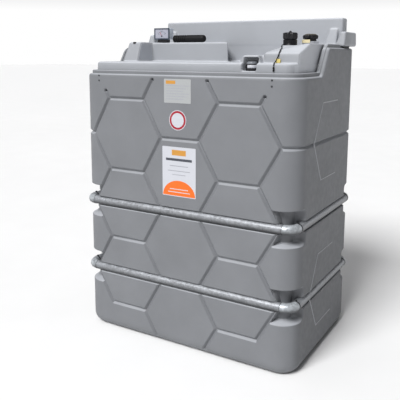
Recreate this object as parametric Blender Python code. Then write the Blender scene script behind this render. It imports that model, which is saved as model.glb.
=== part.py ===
"""Double-walled storage tank of about 1000 litres, moulded in grey plastic.

Units are metres and +Z is up. The origin is at floor level under the middle of the tank.
The long front face looks along -Y, the right end along +X.
"""

from math import asin, cos, pi, radians, sin, tan

import bmesh
import bpy
from mathutils import Vector

# Outer shell
LENGTH = 1.200
DEPTH = 0.800
CORNER_RADIUS = 0.100
FOOT_RADIUS = 0.056
RIM_FRONT_Z = 1.358
RIM_REAR_Z = 1.488
RAMP_FOOT_Y = -0.120
RAMP_HEAD_Y = -0.035
RAMP_EASE = 0.012
LIP_INSET = 0.018
LIP_INNER_INSET = 0.038
LIP_RISE = 0.022
LIP_RAMP_SHIFT = 0.020
LIP_REAR_END_Y = 0.170
SHELL_WALL = 0.030
WAIST_WALL = 0.062
WAIST_HALF_HEIGHT = 0.105
WALL_SLOPE_HEIGHT = 0.030
RIM_WALL_FOOT_Z = 1.278
FLOOR_TOP_Z = 0.035
FLOOR_EDGE_INSET = 0.070
POCKET_X = (0.220, 0.420)
POCKET_DEPTH = 0.012
POCKET_SLOPE = 0.011
CONTACT_GAP = 0.0003
CUT_REACH = 0.020

# Honeycomb grooves
HEX_SIDE = 0.209
HEX_HALF = HEX_SIDE * cos(radians(30))
HEX_SLOPE = tan(radians(30))
GROOVE_Z = 1.0565
GROOVE_WIDTH = 0.028
GROOVE_DEPTH = 0.011
FINE_GROOVE_WIDTH = 0.008
FINE_GROOVE_DEPTH = 0.003
SLANT_END_Z = 1.340
STUB_END_Z = 1.274
FOOT_END_Z = 0.034

# Tube bands
TUBE_RADIUS = 0.02415
TUBE_WALL = 0.0032
TUBE_PROUD = 0.006
TUBE_GAP = 0.0006
TUBE_SIDES = 14
ELBOW_RADIUS = 0.050
ELBOW_STEPS = 6
BAND_HEIGHTS = {"upper": GROOVE_Z - 2 * HEX_HALF, "lower": GROOVE_Z - 4 * HEX_HALF}
RECESS_HALF_HEIGHT = 0.087
RECESS_DEPTH = 0.046
RECESS_CORNER_RADIUS = 0.060
RECESS_END_Y = 0.310

# Inner tank and its moulded top
TANK_INSET = 0.075
TANK_FOOT_INSET = 0.115
TANK_FOOT_HEIGHT = 0.040
TANK_CORNER_RADIUS = 0.040
TANK_SHOULDER_Z = (1.200, 1.265)
TANK_RIM_Z = 1.300
TANK_WALL = 0.008
TOP_INSET = 0.045
TOP_WALL = 0.010
DECK_Z = 1.418
DECK_EDGE = 0.012
BLOCK_FOOT_Z = 1.403
BLOCK_ROUNDING = 0.008
HOLLOW_FOOT_Z = 1.388
CONSOLE_Z = 1.522
PANEL_TOP_Z = 1.645
PANEL_FRONT_Y = 0.320
PANEL_BACK_Y = 0.395
PANEL_HALF_LENGTH = 0.545
PANEL_NECK_HALF_LENGTH = 0.510
PANEL_NECK_BACK_Y = 0.350
SHOULDER_Z = (1.497, 1.570)
PANEL_FOOT_Z = 1.5014

# Fittings
FILLER_AT = (0.375, 0.030)
FILLER_SEAT_Z = 1.5000
FILLER_SEAT_RADIUS = 0.043
FILLER_COLLAR_RADIUS = 0.035
FILLER_COLLAR_HEIGHT = 0.027
FILLER_BORE_RADIUS = 0.026
FILLER_CAP_RADIUS = 0.038
FILLER_CAP_HEIGHT = 0.037
SUCTION_AT = (0.4455, 0.120)
SUCTION_SEAT_Z = 1.5205
SUCTION_SEAT_RADIUS = 0.040
SUCTION_NECK_RADIUS = 0.0305
SUCTION_NECK_HEIGHT = 0.010
SUCTION_BORE_RADIUS = 0.020
SUCTION_CAP_RADIUS = 0.040
SUCTION_CAP_HEIGHT = 0.027
INDICATOR_AT = (0.338, -0.318)
INDICATOR_RADIUS = 0.028
INDICATOR_HEIGHT = 0.042
INDICATOR_BAND = (0.013, 0.026)
NICHE_RADIUS = 0.036
NICHE_Z = (1.383, 1.444)
GAUGE_X = -0.473
GAUGE_FRONT_Y = 0.150
GAUGE_SIZE = (0.104, 0.050, 0.064)
GAUGE_BASE_Z = 1.541
GAUGE_BORDER = 0.006
GAUGE_BEZEL_DEPTH = 0.008
SLEEVE_X = (-0.398, -0.186)
SLEEVE_Y = 0.170
SLEEVE_RADIUS = 0.021
SLEEVE_RIBS = 6
CORD_RADIUS = 0.0022
CORD_POINTS = 60
CLIP_LENGTH = 0.0218
CLIP_RADIUS = 0.0040
PAD_X = (0.557, 0.592)
PAD_Y = (0.195, 0.290)

# Raised blocks of the top: foot and head as (x range, y range), and the head's height
BLOCKS = {
    "left_block": (((-0.548, -0.452), (-0.122, 0.325)), ((-0.543, -0.461), (-0.066, 0.325)), CONSOLE_Z),
    "console": (((-0.485, 0.034), (0.028, 0.329)), ((-0.485, 0.022), (0.044, 0.329)), CONSOLE_Z - 0.003),
    "indicator_boss": (((0.268, 0.392), (-0.336, -0.140)), ((0.296, 0.372), (-0.328, -0.140)), 1.453),
}
# How far the right side of a block runs inwards for each metre towards the rear
RIGHT_SIDE_SLANT = {"console": 0.60}
GUSSET = (((0.452, 0.522), (0.282, 0.331)), ((0.478, 0.524), (0.312, 0.331)), 1.591)
SHOULDER = (((0.548, 0.600), (0.180, 0.390)), ((0.568, 0.597), (0.210, 0.390)))
PANEL_HEEL = (((-0.576, 0.576), (0.328, 0.386)), ((-0.576, 0.576), (0.328, 0.386)), 1.562)

# Top surface of the filler block, corner by corner: a ramp that climbs to the rear right
FILLER_BLOCK = {
    "front_left": (0.385, -0.295, 1.460),
    "front_right": (0.5535, -0.295, 1.460),
    "crest_right": (0.5535, -0.165, 1.507),
    "rear_right": (0.5535, 0.327, 1.509),
    "rear_left": (0.325, 0.327, 1.503),
    "crest_left": (0.325, 0.050, 1.494),
    "side_left": (0.325, -0.150, 1.466),
}
FILLER_BLOCK_TOP = (
    ("front_left", "front_right", "crest_right"),
    ("front_left", "crest_right", "side_left"),
    ("side_left", "crest_right", "crest_left"),
    ("crest_left", "crest_right", "rear_right"),
    ("crest_left", "rear_right", "rear_left"),
)
FILLER_BLOCK_SPREAD = 0.007

# Route of the cap's cord: collar, ramp, front face of the block, deck, front edge of the deck
CORD_ROUTE = [
    (0.350, -0.006, 1.5030), (0.3515, -0.020, 1.4960), (0.362, -0.045, 1.4920), (0.385, -0.095, 1.4890),
    (0.410, -0.155, 1.4855), (0.437, -0.224, 1.4828), (0.449, -0.260, 1.4780), (0.456, -0.286, 1.4690),
    (0.4575, -0.2990, 1.4590), (0.4550, -0.3035, 1.4460), (0.4500, -0.3065, 1.4340), (0.4485, -0.3130, 1.4250),
    (0.4515, -0.3280, 1.4218), (0.4575, -0.3430, 1.4216), (0.4595, -0.3535, 1.4185), (0.4600, -0.3582, 1.4120),
    (0.4600, -0.3592, 1.4055),
]

# Finishes: base colour, roughness, metallic
SHELL_GREY = ((0.28, 0.30, 0.32), 0.55, 0.0)
TOP_GREY = ((0.38, 0.40, 0.43), 0.55, 0.0)
GALVANISED = ((0.55, 0.58, 0.61), 0.38, 1.0)
BLACK_PLASTIC = ((0.015, 0.015, 0.017), 0.45, 0.0)
BLACK_RUBBER = ((0.02, 0.02, 0.02), 0.80, 0.0)
GAUGE_FRAME = ((0.18, 0.20, 0.24), 0.40, 0.0)
DIAL_WHITE = ((0.78, 0.78, 0.80), 0.45, 0.0)


def clear_scene():
    for obj in list(bpy.data.objects):
        bpy.data.objects.remove(obj, do_unlink=True)


def finish(obj, look):
    colour, roughness, metallic = look
    material = bpy.data.materials.new(obj.name)
    material.use_nodes = True
    shader = material.node_tree.nodes["Principled BSDF"]
    shader.inputs["Base Color"].default_value = (*colour, 1.0)
    shader.inputs["Roughness"].default_value = roughness
    shader.inputs["Metallic"].default_value = metallic
    obj.data.materials.append(material)
    return obj


def add_object(name, data):
    obj = bpy.data.objects.new(name, data)
    bpy.context.scene.collection.objects.link(obj)
    return obj


def add_mesh(name, bm):
    bmesh.ops.recalc_face_normals(bm, faces=bm.faces)
    mesh = bpy.data.meshes.new(name)
    bm.to_mesh(mesh)
    bm.free()
    return add_object(name, mesh)


def loft(name, rings, ring_shaped=False):
    """A solid through rings of points: capped at both ends, or joined end to end."""
    bm = bmesh.new()
    loops = [[bm.verts.new(point) for point in ring] for ring in rings]
    following = loops[1:] + loops[:1] if ring_shaped else loops[1:]
    for near, far in zip(loops, following):
        for i, corner in enumerate(near):
            j = (i + 1) % len(near)
            bm.faces.new((corner, near[j], far[j], far[i]))
    if not ring_shaped:
        bm.faces.new(reversed(loops[0]))
        bm.faces.new(loops[-1])
    return add_mesh(name, bm)


def prism_x(name, outline, x_range):
    return loft(name, [[(x, y, z) for y, z in outline] for x in x_range])


def prism_y(name, outline, y_range):
    return loft(name, [[(x, y, z) for x, z in outline] for y in y_range])


def prism_z(name, outline, z_range):
    return loft(name, [[(x, y, z) for x, y in outline] for z in z_range])


def rectangle(x_range, y_range):
    return [(x_range[0], y_range[0]), (x_range[1], y_range[0]),
            (x_range[1], y_range[1]), (x_range[0], y_range[1])]


def frustum(name, foot, head, z_range, slant=0.0):
    """A four-sided block whose foot and head rectangles differ; slant draws in its rear right corner."""
    rings = []
    for (x_range, y_range), z in zip((foot, head), z_range):
        corners = rectangle(x_range, y_range)
        corners[2] = (x_range[1] - slant * (y_range[1] - y_range[0]), y_range[1])
        rings.append([(x, y, z) for x, y in corners])
    return loft(name, rings)


def circle(radius, sides, centre=(0.0, 0.0)):
    turns = [2 * pi * i / sides for i in range(sides)]
    return [(centre[0] + radius * cos(a), centre[1] + radius * sin(a)) for a in turns]


def arc(centre, radius, start, end, steps):
    turns = [start + (end - start) * i / steps for i in range(steps + 1)]
    return [(centre[0] + radius * cos(a), centre[1] + radius * sin(a)) for a in turns]


def rounded_outline(inset, radius, steps):
    """The tank's plan, moved inwards by inset, with round corners."""
    half_x = LENGTH / 2 - inset - radius
    half_y = DEPTH / 2 - inset - radius
    points = []
    for quarter, (sx, sy) in enumerate(((1, 1), (-1, 1), (-1, -1), (1, -1))):
        start = quarter * pi / 2
        points += arc((sx * half_x, sy * half_y), radius, start, start + pi / 2, steps)
    return points


def rounded_tub(name, profile, steps):
    """A loft of rounded outlines; profile holds (height, inset, corner radius)."""
    return loft(name, [[(x, y, z) for x, y in rounded_outline(inset, radius, steps)]
                       for z, inset, radius in profile])


def hide(tool):
    tool.hide_render = True
    tool.display_type = 'WIRE'
    return tool


def combine(target, tool, operation):
    modifier = target.modifiers.new(f"{operation.lower()}_{tool.name}", 'BOOLEAN')
    modifier.operation = operation
    modifier.solver = 'EXACT'
    modifier.object = hide(tool)


def cut_all(target, tools, label):
    """Cuts a whole group of tools out of the target in one step."""
    group = bpy.data.collections.new(label)
    bpy.context.scene.collection.children.link(group)
    for tool in tools:
        bpy.context.scene.collection.objects.unlink(hide(tool))
        group.objects.link(tool)
    modifier = target.modifiers.new(f"cut_{label}", 'BOOLEAN')
    modifier.operand_type = 'COLLECTION'
    modifier.collection = group
    modifier.operation = 'DIFFERENCE'
    modifier.solver = 'EXACT'


def round_edges(obj, width):
    modifier = obj.modifiers.new("round_edges", 'BEVEL')
    modifier.width = width
    modifier.segments = 2
    modifier.limit_method = 'ANGLE'
    modifier.angle_limit = radians(30)


def turned(name, profile, centre, sides=24):
    """A solid of revolution about a vertical axis; profile holds (radius, height)."""
    return loft(name, [[(x, y, z) for x, y in circle(radius, sides, centre)] for radius, z in profile])


def turned_ring(name, outer, inner, z_range, centre, sides=24):
    """A ring with a bore: outer and inner are radii."""
    low, high = z_range
    profile = ((outer, low), (outer, high), (inner, high), (inner, low))
    rings = [[(x, y, z) for x, y in circle(radius, sides, centre)] for radius, z in profile]
    return loft(name, rings, ring_shaped=True)


def lobed(name, profile, centre, lobes, points_per_lobe):
    """A grip with lobes; profile holds (height, radius, swell of the lobes)."""
    count = lobes * points_per_lobe
    rings = []
    for z, radius, swell in profile:
        ring = []
        for i in range(count):
            turn = 2 * pi * i / count
            reach = radius + swell * cos(lobes * turn)
            ring.append((centre[0] + reach * cos(turn), centre[1] + reach * sin(turn), z))
        rings.append(ring)
    return loft(name, rings)


def groove_bar(name, path, width, depth):
    """A tapered bar along a path; path holds (surface point, outward normal)."""
    proud = 0.004
    section = ((proud, width / 2), (0.0, width / 2), (-depth, width / 8),
               (-depth, -width / 8), (0.0, -width / 2), (proud, -width / 2))
    rings = []
    last = len(path) - 1
    for i, (point, normal) in enumerate(path):
        point, normal = Vector(point), Vector(normal)
        run = Vector(path[min(i + 1, last)][0]) - Vector(path[max(i - 1, 0)][0])
        across = normal.cross(run).normalized()
        rings.append([point + normal * out + across * side for out, side in section])
    return loft(name, rings)


def hexagon_grooves():
    """Groove lines on a long face as ((x, z), (x, z)) pairs: two columns of hexagons."""
    side, half = HEX_SIDE, HEX_HALF
    lines = [((-side / 2, GROOVE_Z), (side / 2, GROOVE_Z))]
    for way in (-1, 1):
        column = way * 1.5 * side
        inner_x, outer_x = column - way * side / 2, column + way * side / 2
        top, foot = GROOVE_Z + half, GROOVE_Z - 5 * half
        lines.append(((column - side / 2, top), (column + side / 2, top)))
        for row in range(3):
            centre = GROOVE_Z - 2 * row * half
            lines.append(((column - side / 2, centre - half), (column + side / 2, centre - half)))
            for end_z in (centre + half, centre - half):
                lines.append(((inner_x, end_z), (column - way * side, centre)))
                lines.append(((outer_x, end_z), (column + way * side, centre)))
        lines.append(((inner_x, top), (inner_x - way * HEX_SLOPE * (SLANT_END_Z - top), SLANT_END_Z)))
        lines.append(((outer_x, top), (outer_x + way * HEX_SLOPE * (STUB_END_Z - top), STUB_END_Z)))
        lines.append(((inner_x, foot), (inner_x - way * HEX_SLOPE * (foot - FOOT_END_Z), FOOT_END_Z)))
    return lines


def end_face_grooves():
    """Fine lines on an end face as ((y, z), (y, z)) pairs: the front half of two hexagons."""
    side, half = HEX_SIDE, HEX_HALF
    lines = []
    for centre in (GROOVE_Z, BAND_HEIGHTS["lower"]):
        for end_z in (centre + half, centre - half):
            lines.append(((-side, centre), (-side / 2, end_z)))
            lines.append(((-side / 2, end_z), (side / 2, end_z)))
    return lines


def end_groove_path(way):
    """From a front hexagon's outer corner round the end of the tank to the back one."""
    centre_x = LENGTH / 2 - CORNER_RADIUS
    centre_y = DEPTH / 2 - CORNER_RADIUS
    start = asin((2.5 * HEX_SIDE - centre_x) / CORNER_RADIUS)
    steps = 5
    path = []
    for i in range(steps + 1):
        turn = start + (pi / 2 - start) * i / steps
        point = (way * (centre_x + CORNER_RADIUS * sin(turn)), -centre_y - CORNER_RADIUS * cos(turn), GROOVE_Z)
        path.append((point, (way * sin(turn), -cos(turn), 0)))
    mirrored = [((x, -y, z), (nx, -ny, nz)) for (x, y, z), (nx, ny, nz) in reversed(path)]
    return path + mirrored


def groove_tools():
    tools = []
    for label, way in (("front", -1), ("back", 1)):
        for i, line in enumerate(hexagon_grooves()):
            path = [((x, way * DEPTH / 2, z), (0, way, 0)) for x, z in line]
            tools.append(groove_bar(f"groove_{label}_{i}", path, GROOVE_WIDTH, GROOVE_DEPTH))
    for label, way in (("left", -1), ("right", 1)):
        for i, line in enumerate(end_face_grooves()):
            path = [((way * LENGTH / 2, y, z), (way, 0, 0)) for y, z in line]
            tools.append(groove_bar(f"groove_{label}_{i}", path, FINE_GROOVE_WIDTH, FINE_GROOVE_DEPTH))
        tools.append(groove_bar(f"groove_{label}_round", end_groove_path(way), GROOVE_WIDTH, GROOVE_DEPTH))
    return tools


def tube_channel_outline(height):
    """Section of the trough that a tube lies in, as (distance out, height) pairs."""
    axis = TUBE_PROUD - TUBE_RADIUS
    reach = TUBE_RADIUS + TUBE_GAP
    outer = TUBE_PROUD + CUT_REACH
    trough = arc((axis, height), reach, pi / 2, 3 * pi / 2, TUBE_SIDES // 2)
    return [(outer, height + reach)] + trough + [(outer, height - reach)]


def recess_tool(label, sx, sy, height):
    """The set-back round one corner that bares an elbow."""
    wall_x = LENGTH / 2 - RECESS_DEPTH
    wall_y = DEPTH / 2 - RECESS_DEPTH
    outer_x, outer_y = LENGTH / 2 + CUT_REACH, DEPTH / 2 + CUT_REACH
    radius = RECESS_CORNER_RADIUS
    inner_x = 1.5 * HEX_SIDE
    bend = arc((wall_x - radius, wall_y - radius), radius, 0, pi / 2, 5)
    plan = [(outer_x, RECESS_END_Y), (wall_x, RECESS_END_Y)] + bend[1:]
    plan += [(inner_x, wall_y), (inner_x, outer_y), (outer_x, outer_y)]
    low, high = height - RECESS_HALF_HEIGHT, height + RECESS_HALF_HEIGHT
    tool = prism_z(f"recess_{label}", [(sx * x, sy * y) for x, y in plan], (low, high))

    tip_x = 2.5 * HEX_SIDE
    edge_x = tip_x - (RECESS_HALF_HEIGHT + CUT_REACH) * HEX_SLOPE
    sides = [(edge_x, high + CUT_REACH), (tip_x, height), (edge_x, low - CUT_REACH),
             (outer_x + CUT_REACH, low - CUT_REACH), (outer_x + CUT_REACH, high + CUT_REACH)]
    wedge = prism_y(f"recess_sides_{label}", [(sx * x, z) for x, z in sides],
                    (sy * (RECESS_END_Y - CUT_REACH), sy * (outer_y + CUT_REACH)))
    combine(tool, wedge, 'INTERSECT')
    return tool


def band_tools():
    tools = []
    front_reach = 2.55 * HEX_SIDE
    side_reach = RECESS_END_Y + 0.01
    for band, height in BAND_HEIGHTS.items():
        outline = tube_channel_outline(height)
        for label, way in (("front", -1), ("back", 1)):
            section = [(way * (DEPTH / 2 + out), z) for out, z in outline]
            tools.append(prism_x(f"channel_{band}_{label}", section, (-front_reach, front_reach)))
        for label, way in (("left", -1), ("right", 1)):
            section = [(way * (LENGTH / 2 + out), z) for out, z in outline]
            tools.append(prism_y(f"channel_{band}_{label}", section, (-side_reach, side_reach)))
        for sx in (-1, 1):
            for sy in (-1, 1):
                tools.append(recess_tool(f"{band}_{sx}_{sy}", sx, sy, height))
    return tools


def rim_tool(name, z_front, z_rear, shift):
    """Everything above a rim that climbs from the low front to the high rear."""
    foot_y, head_y = RAMP_FOOT_Y + shift, RAMP_HEAD_Y + shift
    slope = (z_rear - z_front) / (head_y - foot_y)
    ceiling = z_rear + 0.3
    outline = [(-DEPTH, z_front), (foot_y - RAMP_EASE, z_front),
               (foot_y + RAMP_EASE, z_front + slope * RAMP_EASE),
               (head_y - RAMP_EASE, z_rear - slope * RAMP_EASE),
               (head_y + RAMP_EASE, z_rear), (DEPTH, z_rear), (DEPTH, ceiling), (-DEPTH, ceiling)]
    return prism_x(name, outline, (-LENGTH, LENGTH))


def shell_lip():
    """The raised inner rim, which follows the ramps and ends before the shoulders."""
    top = RIM_REAR_Z + LIP_RISE
    lip = rounded_tub("lip_guide", [(z, LIP_INSET, CORNER_RADIUS - LIP_INSET)
                                    for z in (RIM_WALL_FOOT_Z, top + CUT_REACH)], steps=7)
    combine(lip, rim_tool("lip_rim_tool", RIM_FRONT_Z + LIP_RISE, top, LIP_RAMP_SHIFT), 'DIFFERENCE')
    rear = prism_z("lip_rear_tool", rectangle((-LENGTH, LENGTH), (LIP_REAR_END_Y, DEPTH)),
                   (RIM_REAR_Z - 0.01, top + 0.1))
    combine(lip, rear, 'DIFFERENCE')
    return lip


def cavity_tool():
    """The inside of the shell, drawn in behind the tube bands."""
    profile = [(FLOOR_TOP_Z, FLOOR_EDGE_INSET), (FLOOR_TOP_Z + WALL_SLOPE_HEIGHT, SHELL_WALL)]
    for height in sorted(BAND_HEIGHTS.values()):
        low, high = height - WAIST_HALF_HEIGHT, height + WAIST_HALF_HEIGHT
        profile += [(low - WALL_SLOPE_HEIGHT, SHELL_WALL), (low, WAIST_WALL),
                    (high, WAIST_WALL), (high + WALL_SLOPE_HEIGHT, SHELL_WALL)]
    profile += [(RIM_WALL_FOOT_Z, SHELL_WALL), (RIM_WALL_FOOT_Z + CUT_REACH, LIP_INNER_INSET),
                (RIM_REAR_Z + 0.1, LIP_INNER_INSET)]
    return rounded_tub("cavity_tool", [(z, inset, CORNER_RADIUS - inset) for z, inset in profile], steps=5)


def pocket_tools():
    """Shallow raised stretches of the underside, which run through from front to back."""
    near, far = POCKET_X
    section = ((near - POCKET_SLOPE, -POCKET_SLOPE), (near + POCKET_SLOPE, POCKET_DEPTH),
               (far - POCKET_SLOPE, POCKET_DEPTH), (far + POCKET_SLOPE, -POCKET_SLOPE))
    return [prism_y(f"pocket_{way}", [(way * x, z) for x, z in section], (-DEPTH, DEPTH)) for way in (-1, 1)]


def bund_shell():
    steps = 4
    profile = []
    for i in range(steps + 1):
        turn = pi / 2 * i / steps
        inset = FOOT_RADIUS * (1 - sin(turn))
        profile.append((FOOT_RADIUS * (1 - cos(turn)), inset, CORNER_RADIUS - inset))
    profile.append((RIM_REAR_Z + CUT_REACH, 0.0, CORNER_RADIUS))
    shell = rounded_tub("bund_shell", profile, steps=8)
    combine(shell, rim_tool("rim_tool", RIM_FRONT_Z, RIM_REAR_Z, 0.0), 'DIFFERENCE')
    combine(shell, shell_lip(), 'UNION')
    combine(shell, cavity_tool(), 'DIFFERENCE')
    cut_all(shell, groove_tools(), "grooves")
    cut_all(shell, band_tools(), "bands")
    cut_all(shell, pocket_tools(), "pockets")
    finish(shell, SHELL_GREY)


def inner_tank():
    floor_z = FLOOR_TOP_Z + CONTACT_GAP
    shoulder_low, shoulder_high = TANK_SHOULDER_Z
    top_radius = CORNER_RADIUS - TOP_INSET
    outer = [(floor_z, TANK_FOOT_INSET, TANK_CORNER_RADIUS - 0.01),
             (floor_z + TANK_FOOT_HEIGHT, TANK_INSET, TANK_CORNER_RADIUS),
             (shoulder_low, TANK_INSET, TANK_CORNER_RADIUS),
             (shoulder_high, TOP_INSET, top_radius),
             (TANK_RIM_Z, TOP_INSET, top_radius)]
    tank = rounded_tub("inner_tank", outer, steps=4)
    inner = [(z, inset + TANK_WALL, radius - TANK_WALL) for z, inset, radius in outer]
    inner[0] = (floor_z + TANK_WALL, *inner[0][1:])
    inner.append((TANK_RIM_Z + CUT_REACH, *inner[-1][1:]))
    combine(tank, rounded_tub("inner_tank_tool", inner, steps=4), 'DIFFERENCE')
    finish(tank, TOP_GREY)


def filler_block(name, foot_z, wall):
    """The block that carries both necks, moved inwards by wall."""
    middle = Vector((0.44, 0.0, 0.0))
    bm = bmesh.new()
    head, foot = {}, {}
    for corner, (x, y, z) in FILLER_BLOCK.items():
        x -= wall if x > middle.x else -wall
        y += wall if y < 0.1 else -wall
        head[corner] = bm.verts.new((x, y, z - wall))
        spread = FILLER_BLOCK_SPREAD if corner.startswith("front") else 0.0
        foot[corner] = bm.verts.new((x, y - spread, foot_z))
    for corners in FILLER_BLOCK_TOP:
        bm.faces.new([head[corner] for corner in corners])
    order = list(FILLER_BLOCK)
    for near, far in zip(order, order[1:] + order[:1]):
        bm.faces.new((foot[near], foot[far], head[far], head[near]))
    bm.faces.new([foot[corner] for corner in reversed(order)])
    return add_mesh(name, bm)


def inner_frustum(name, wall):
    """The hollow inside one of the raised blocks."""
    foot, head, top = BLOCKS[name]
    slant = RIGHT_SIDE_SLANT.get(name, 0.0)
    plans = [((x[0] + wall, x[1] - wall * (1 + slant)), (y[0] + wall, y[1] - wall)) for x, y in (foot, head)]
    return frustum(f"{name}_hollow", *plans, (HOLLOW_FOOT_Z, top - wall), slant)


def mirror_x(plan):
    x_range, y_range = plan
    return (-x_range[1], -x_range[0]), y_range


def top_blocks():
    """The raised forms of the top moulding."""
    blocks = [frustum(name, foot, head, (BLOCK_FOOT_Z - 0.001 * i, top), RIGHT_SIDE_SLANT.get(name, 0.0))
              for i, (name, (foot, head, top)) in enumerate(BLOCKS.items())]
    blocks.append(filler_block("filler_block", BLOCK_FOOT_Z, 0.0))
    neck = ((-PANEL_NECK_HALF_LENGTH, PANEL_NECK_HALF_LENGTH), (PANEL_FRONT_Y + 0.001, PANEL_NECK_BACK_Y))
    blocks.append(frustum("panel_neck", neck, neck, (BLOCK_FOOT_Z, SHOULDER_Z[0] + CUT_REACH)))
    panel = rectangle((-PANEL_HALF_LENGTH, PANEL_HALF_LENGTH), (PANEL_FRONT_Y, PANEL_BACK_Y))
    blocks.append(prism_z("rear_panel", panel, (PANEL_FOOT_Z, PANEL_TOP_Z)))
    blocks.append(frustum("panel_heel", *PANEL_HEEL[:2], (PANEL_FOOT_Z + 0.002, PANEL_HEEL[2])))
    blocks.append(frustum("gusset_right", *GUSSET[:2], (PANEL_FOOT_Z - 0.012, GUSSET[2])))
    blocks.append(frustum("gusset_left", *map(mirror_x, GUSSET[:2]), (PANEL_FOOT_Z - 0.012, GUSSET[2])))
    blocks.append(frustum("shoulder_right", *SHOULDER, SHOULDER_Z))
    blocks.append(frustum("shoulder_left", *map(mirror_x, SHOULDER), SHOULDER_Z))
    for block in blocks:
        round_edges(block, BLOCK_ROUNDING)
    return blocks


def top_hollow():
    """The space under the top moulding, kept away from the indicator's niche."""
    inside = TOP_INSET + TOP_WALL
    hollow = rounded_tub("deck_hollow", [(z, inside, CORNER_RADIUS - inside)
                                         for z in (TANK_RIM_Z - CUT_REACH, DECK_Z - TOP_WALL)], steps=4)
    for name in ("left_block", "console"):
        combine(hollow, inner_frustum(name, TOP_WALL), 'UNION')
    combine(hollow, filler_block("filler_block_hollow", HOLLOW_FOOT_Z, TOP_WALL), 'UNION')
    x, y = INDICATOR_AT
    keep = NICHE_RADIUS + TOP_WALL
    wall = prism_z("niche_wall", rectangle((x - keep, x + keep), (-DEPTH / 2, y + keep)),
                   (TANK_RIM_Z - 0.1, DECK_Z + 0.1))
    combine(hollow, wall, 'DIFFERENCE')
    return hollow


def niche_tool():
    x, y = INDICATOR_AT
    plan = [(x - NICHE_RADIUS, -DEPTH / 2)]
    plan += arc((x, y), NICHE_RADIUS, pi, 0, 8)
    plan.append((x + NICHE_RADIUS, -DEPTH / 2))
    return prism_z("niche_tool", plan, NICHE_Z)


def tank_top():
    corner = CORNER_RADIUS - TOP_INSET
    skirt_z = TANK_RIM_Z + CONTACT_GAP
    bend = 0.3 * DECK_EDGE
    profile = [(skirt_z, TOP_INSET, corner), (DECK_Z - DECK_EDGE, TOP_INSET, corner),
               (DECK_Z - bend, TOP_INSET + bend, corner - bend),
               (DECK_Z, TOP_INSET + DECK_EDGE, corner - DECK_EDGE)]
    top = rounded_tub("tank_top", profile, steps=5)
    seat_foot = FILLER_SEAT_Z - CUT_REACH
    seats = [turned("filler_seat", [(FILLER_SEAT_RADIUS, z) for z in (seat_foot, FILLER_SEAT_Z)], FILLER_AT),
             turned("suction_seat", [(SUCTION_SEAT_RADIUS, z) for z in (seat_foot, SUCTION_SEAT_Z)], SUCTION_AT)]
    for block in top_blocks() + seats:
        combine(top, block, 'UNION')
    combine(top, top_hollow(), 'DIFFERENCE')
    bore_z = (HOLLOW_FOOT_Z, PANEL_TOP_Z)
    bores = [turned("filler_bore", [(FILLER_BORE_RADIUS, z) for z in bore_z], FILLER_AT),
             turned("suction_bore", [(SUCTION_BORE_RADIUS, z) for z in bore_z], SUCTION_AT)]
    cut_all(top, [niche_tool()] + bores, "top_openings")
    finish(top, TOP_GREY)


def straight_tube(name, start, end):
    axis = (Vector(end) - Vector(start)).normalized()
    up = Vector((0, 0, 1))
    side = axis.cross(up)
    rings = []
    for point, radius in ((start, TUBE_RADIUS), (end, TUBE_RADIUS),
                          (end, TUBE_RADIUS - TUBE_WALL), (start, TUBE_RADIUS - TUBE_WALL)):
        rings.append([Vector(point) + side * u + up * v for v, u in circle(radius, TUBE_SIDES)])
    finish(loft(name, rings, ring_shaped=True), GALVANISED)


def elbow(name, sx, sy, height):
    """A quarter bend that joins two straight tubes at one corner of the tank."""
    centre_x = LENGTH / 2 + TUBE_PROUD - TUBE_RADIUS - ELBOW_RADIUS
    centre_y = DEPTH / 2 + TUBE_PROUD - TUBE_RADIUS - ELBOW_RADIUS
    rings = []
    for i in range(ELBOW_STEPS + 1):
        turn = pi / 2 * i / ELBOW_STEPS
        ring = []
        for v, out in circle(TUBE_RADIUS, TUBE_SIDES):
            reach = ELBOW_RADIUS + out
            ring.append((sx * (centre_x + reach * sin(turn)), sy * (centre_y + reach * cos(turn)), height + v))
        rings.append(ring)
    finish(loft(name, rings), GALVANISED)


def tube_band(band, height):
    axis_x = LENGTH / 2 + TUBE_PROUD - TUBE_RADIUS
    axis_y = DEPTH / 2 + TUBE_PROUD - TUBE_RADIUS
    end_x = axis_x - ELBOW_RADIUS - CONTACT_GAP
    end_y = axis_y - ELBOW_RADIUS - CONTACT_GAP
    for label, way in (("front", -1), ("back", 1)):
        straight_tube(f"{band}_tube_{label}", (-end_x, way * axis_y, height), (end_x, way * axis_y, height))
        for end, sx in (("left", -1), ("right", 1)):
            elbow(f"{band}_elbow_{label}_{end}", sx, way, height)
    for label, way in (("left", -1), ("right", 1)):
        straight_tube(f"{band}_tube_{label}", (way * axis_x, -end_y, height), (way * axis_x, end_y, height))


def filler_fitting():
    foot = FILLER_SEAT_Z + CONTACT_GAP
    top = foot + FILLER_COLLAR_HEIGHT
    finish(turned_ring("filler_collar", FILLER_COLLAR_RADIUS, FILLER_BORE_RADIUS, (foot, top), FILLER_AT),
           BLACK_PLASTIC)
    foot = top + CONTACT_GAP
    top = foot + FILLER_CAP_HEIGHT
    reach = FILLER_CAP_RADIUS - 0.002
    profile = ((foot, reach - 0.004, 0.0), (foot + 0.010, reach, 0.002),
               (top - 0.006, reach, 0.002), (top, reach - 0.007, 0.001))
    finish(lobed("filler_cap", profile, FILLER_AT, lobes=8, points_per_lobe=5), BLACK_PLASTIC)
    foot = top + CONTACT_GAP
    profile = ((0.006, foot), (0.006, foot + 0.003), (0.004, foot + 0.006))
    finish(turned("filler_cap_knob", profile, FILLER_AT, 12), BLACK_PLASTIC)


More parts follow.
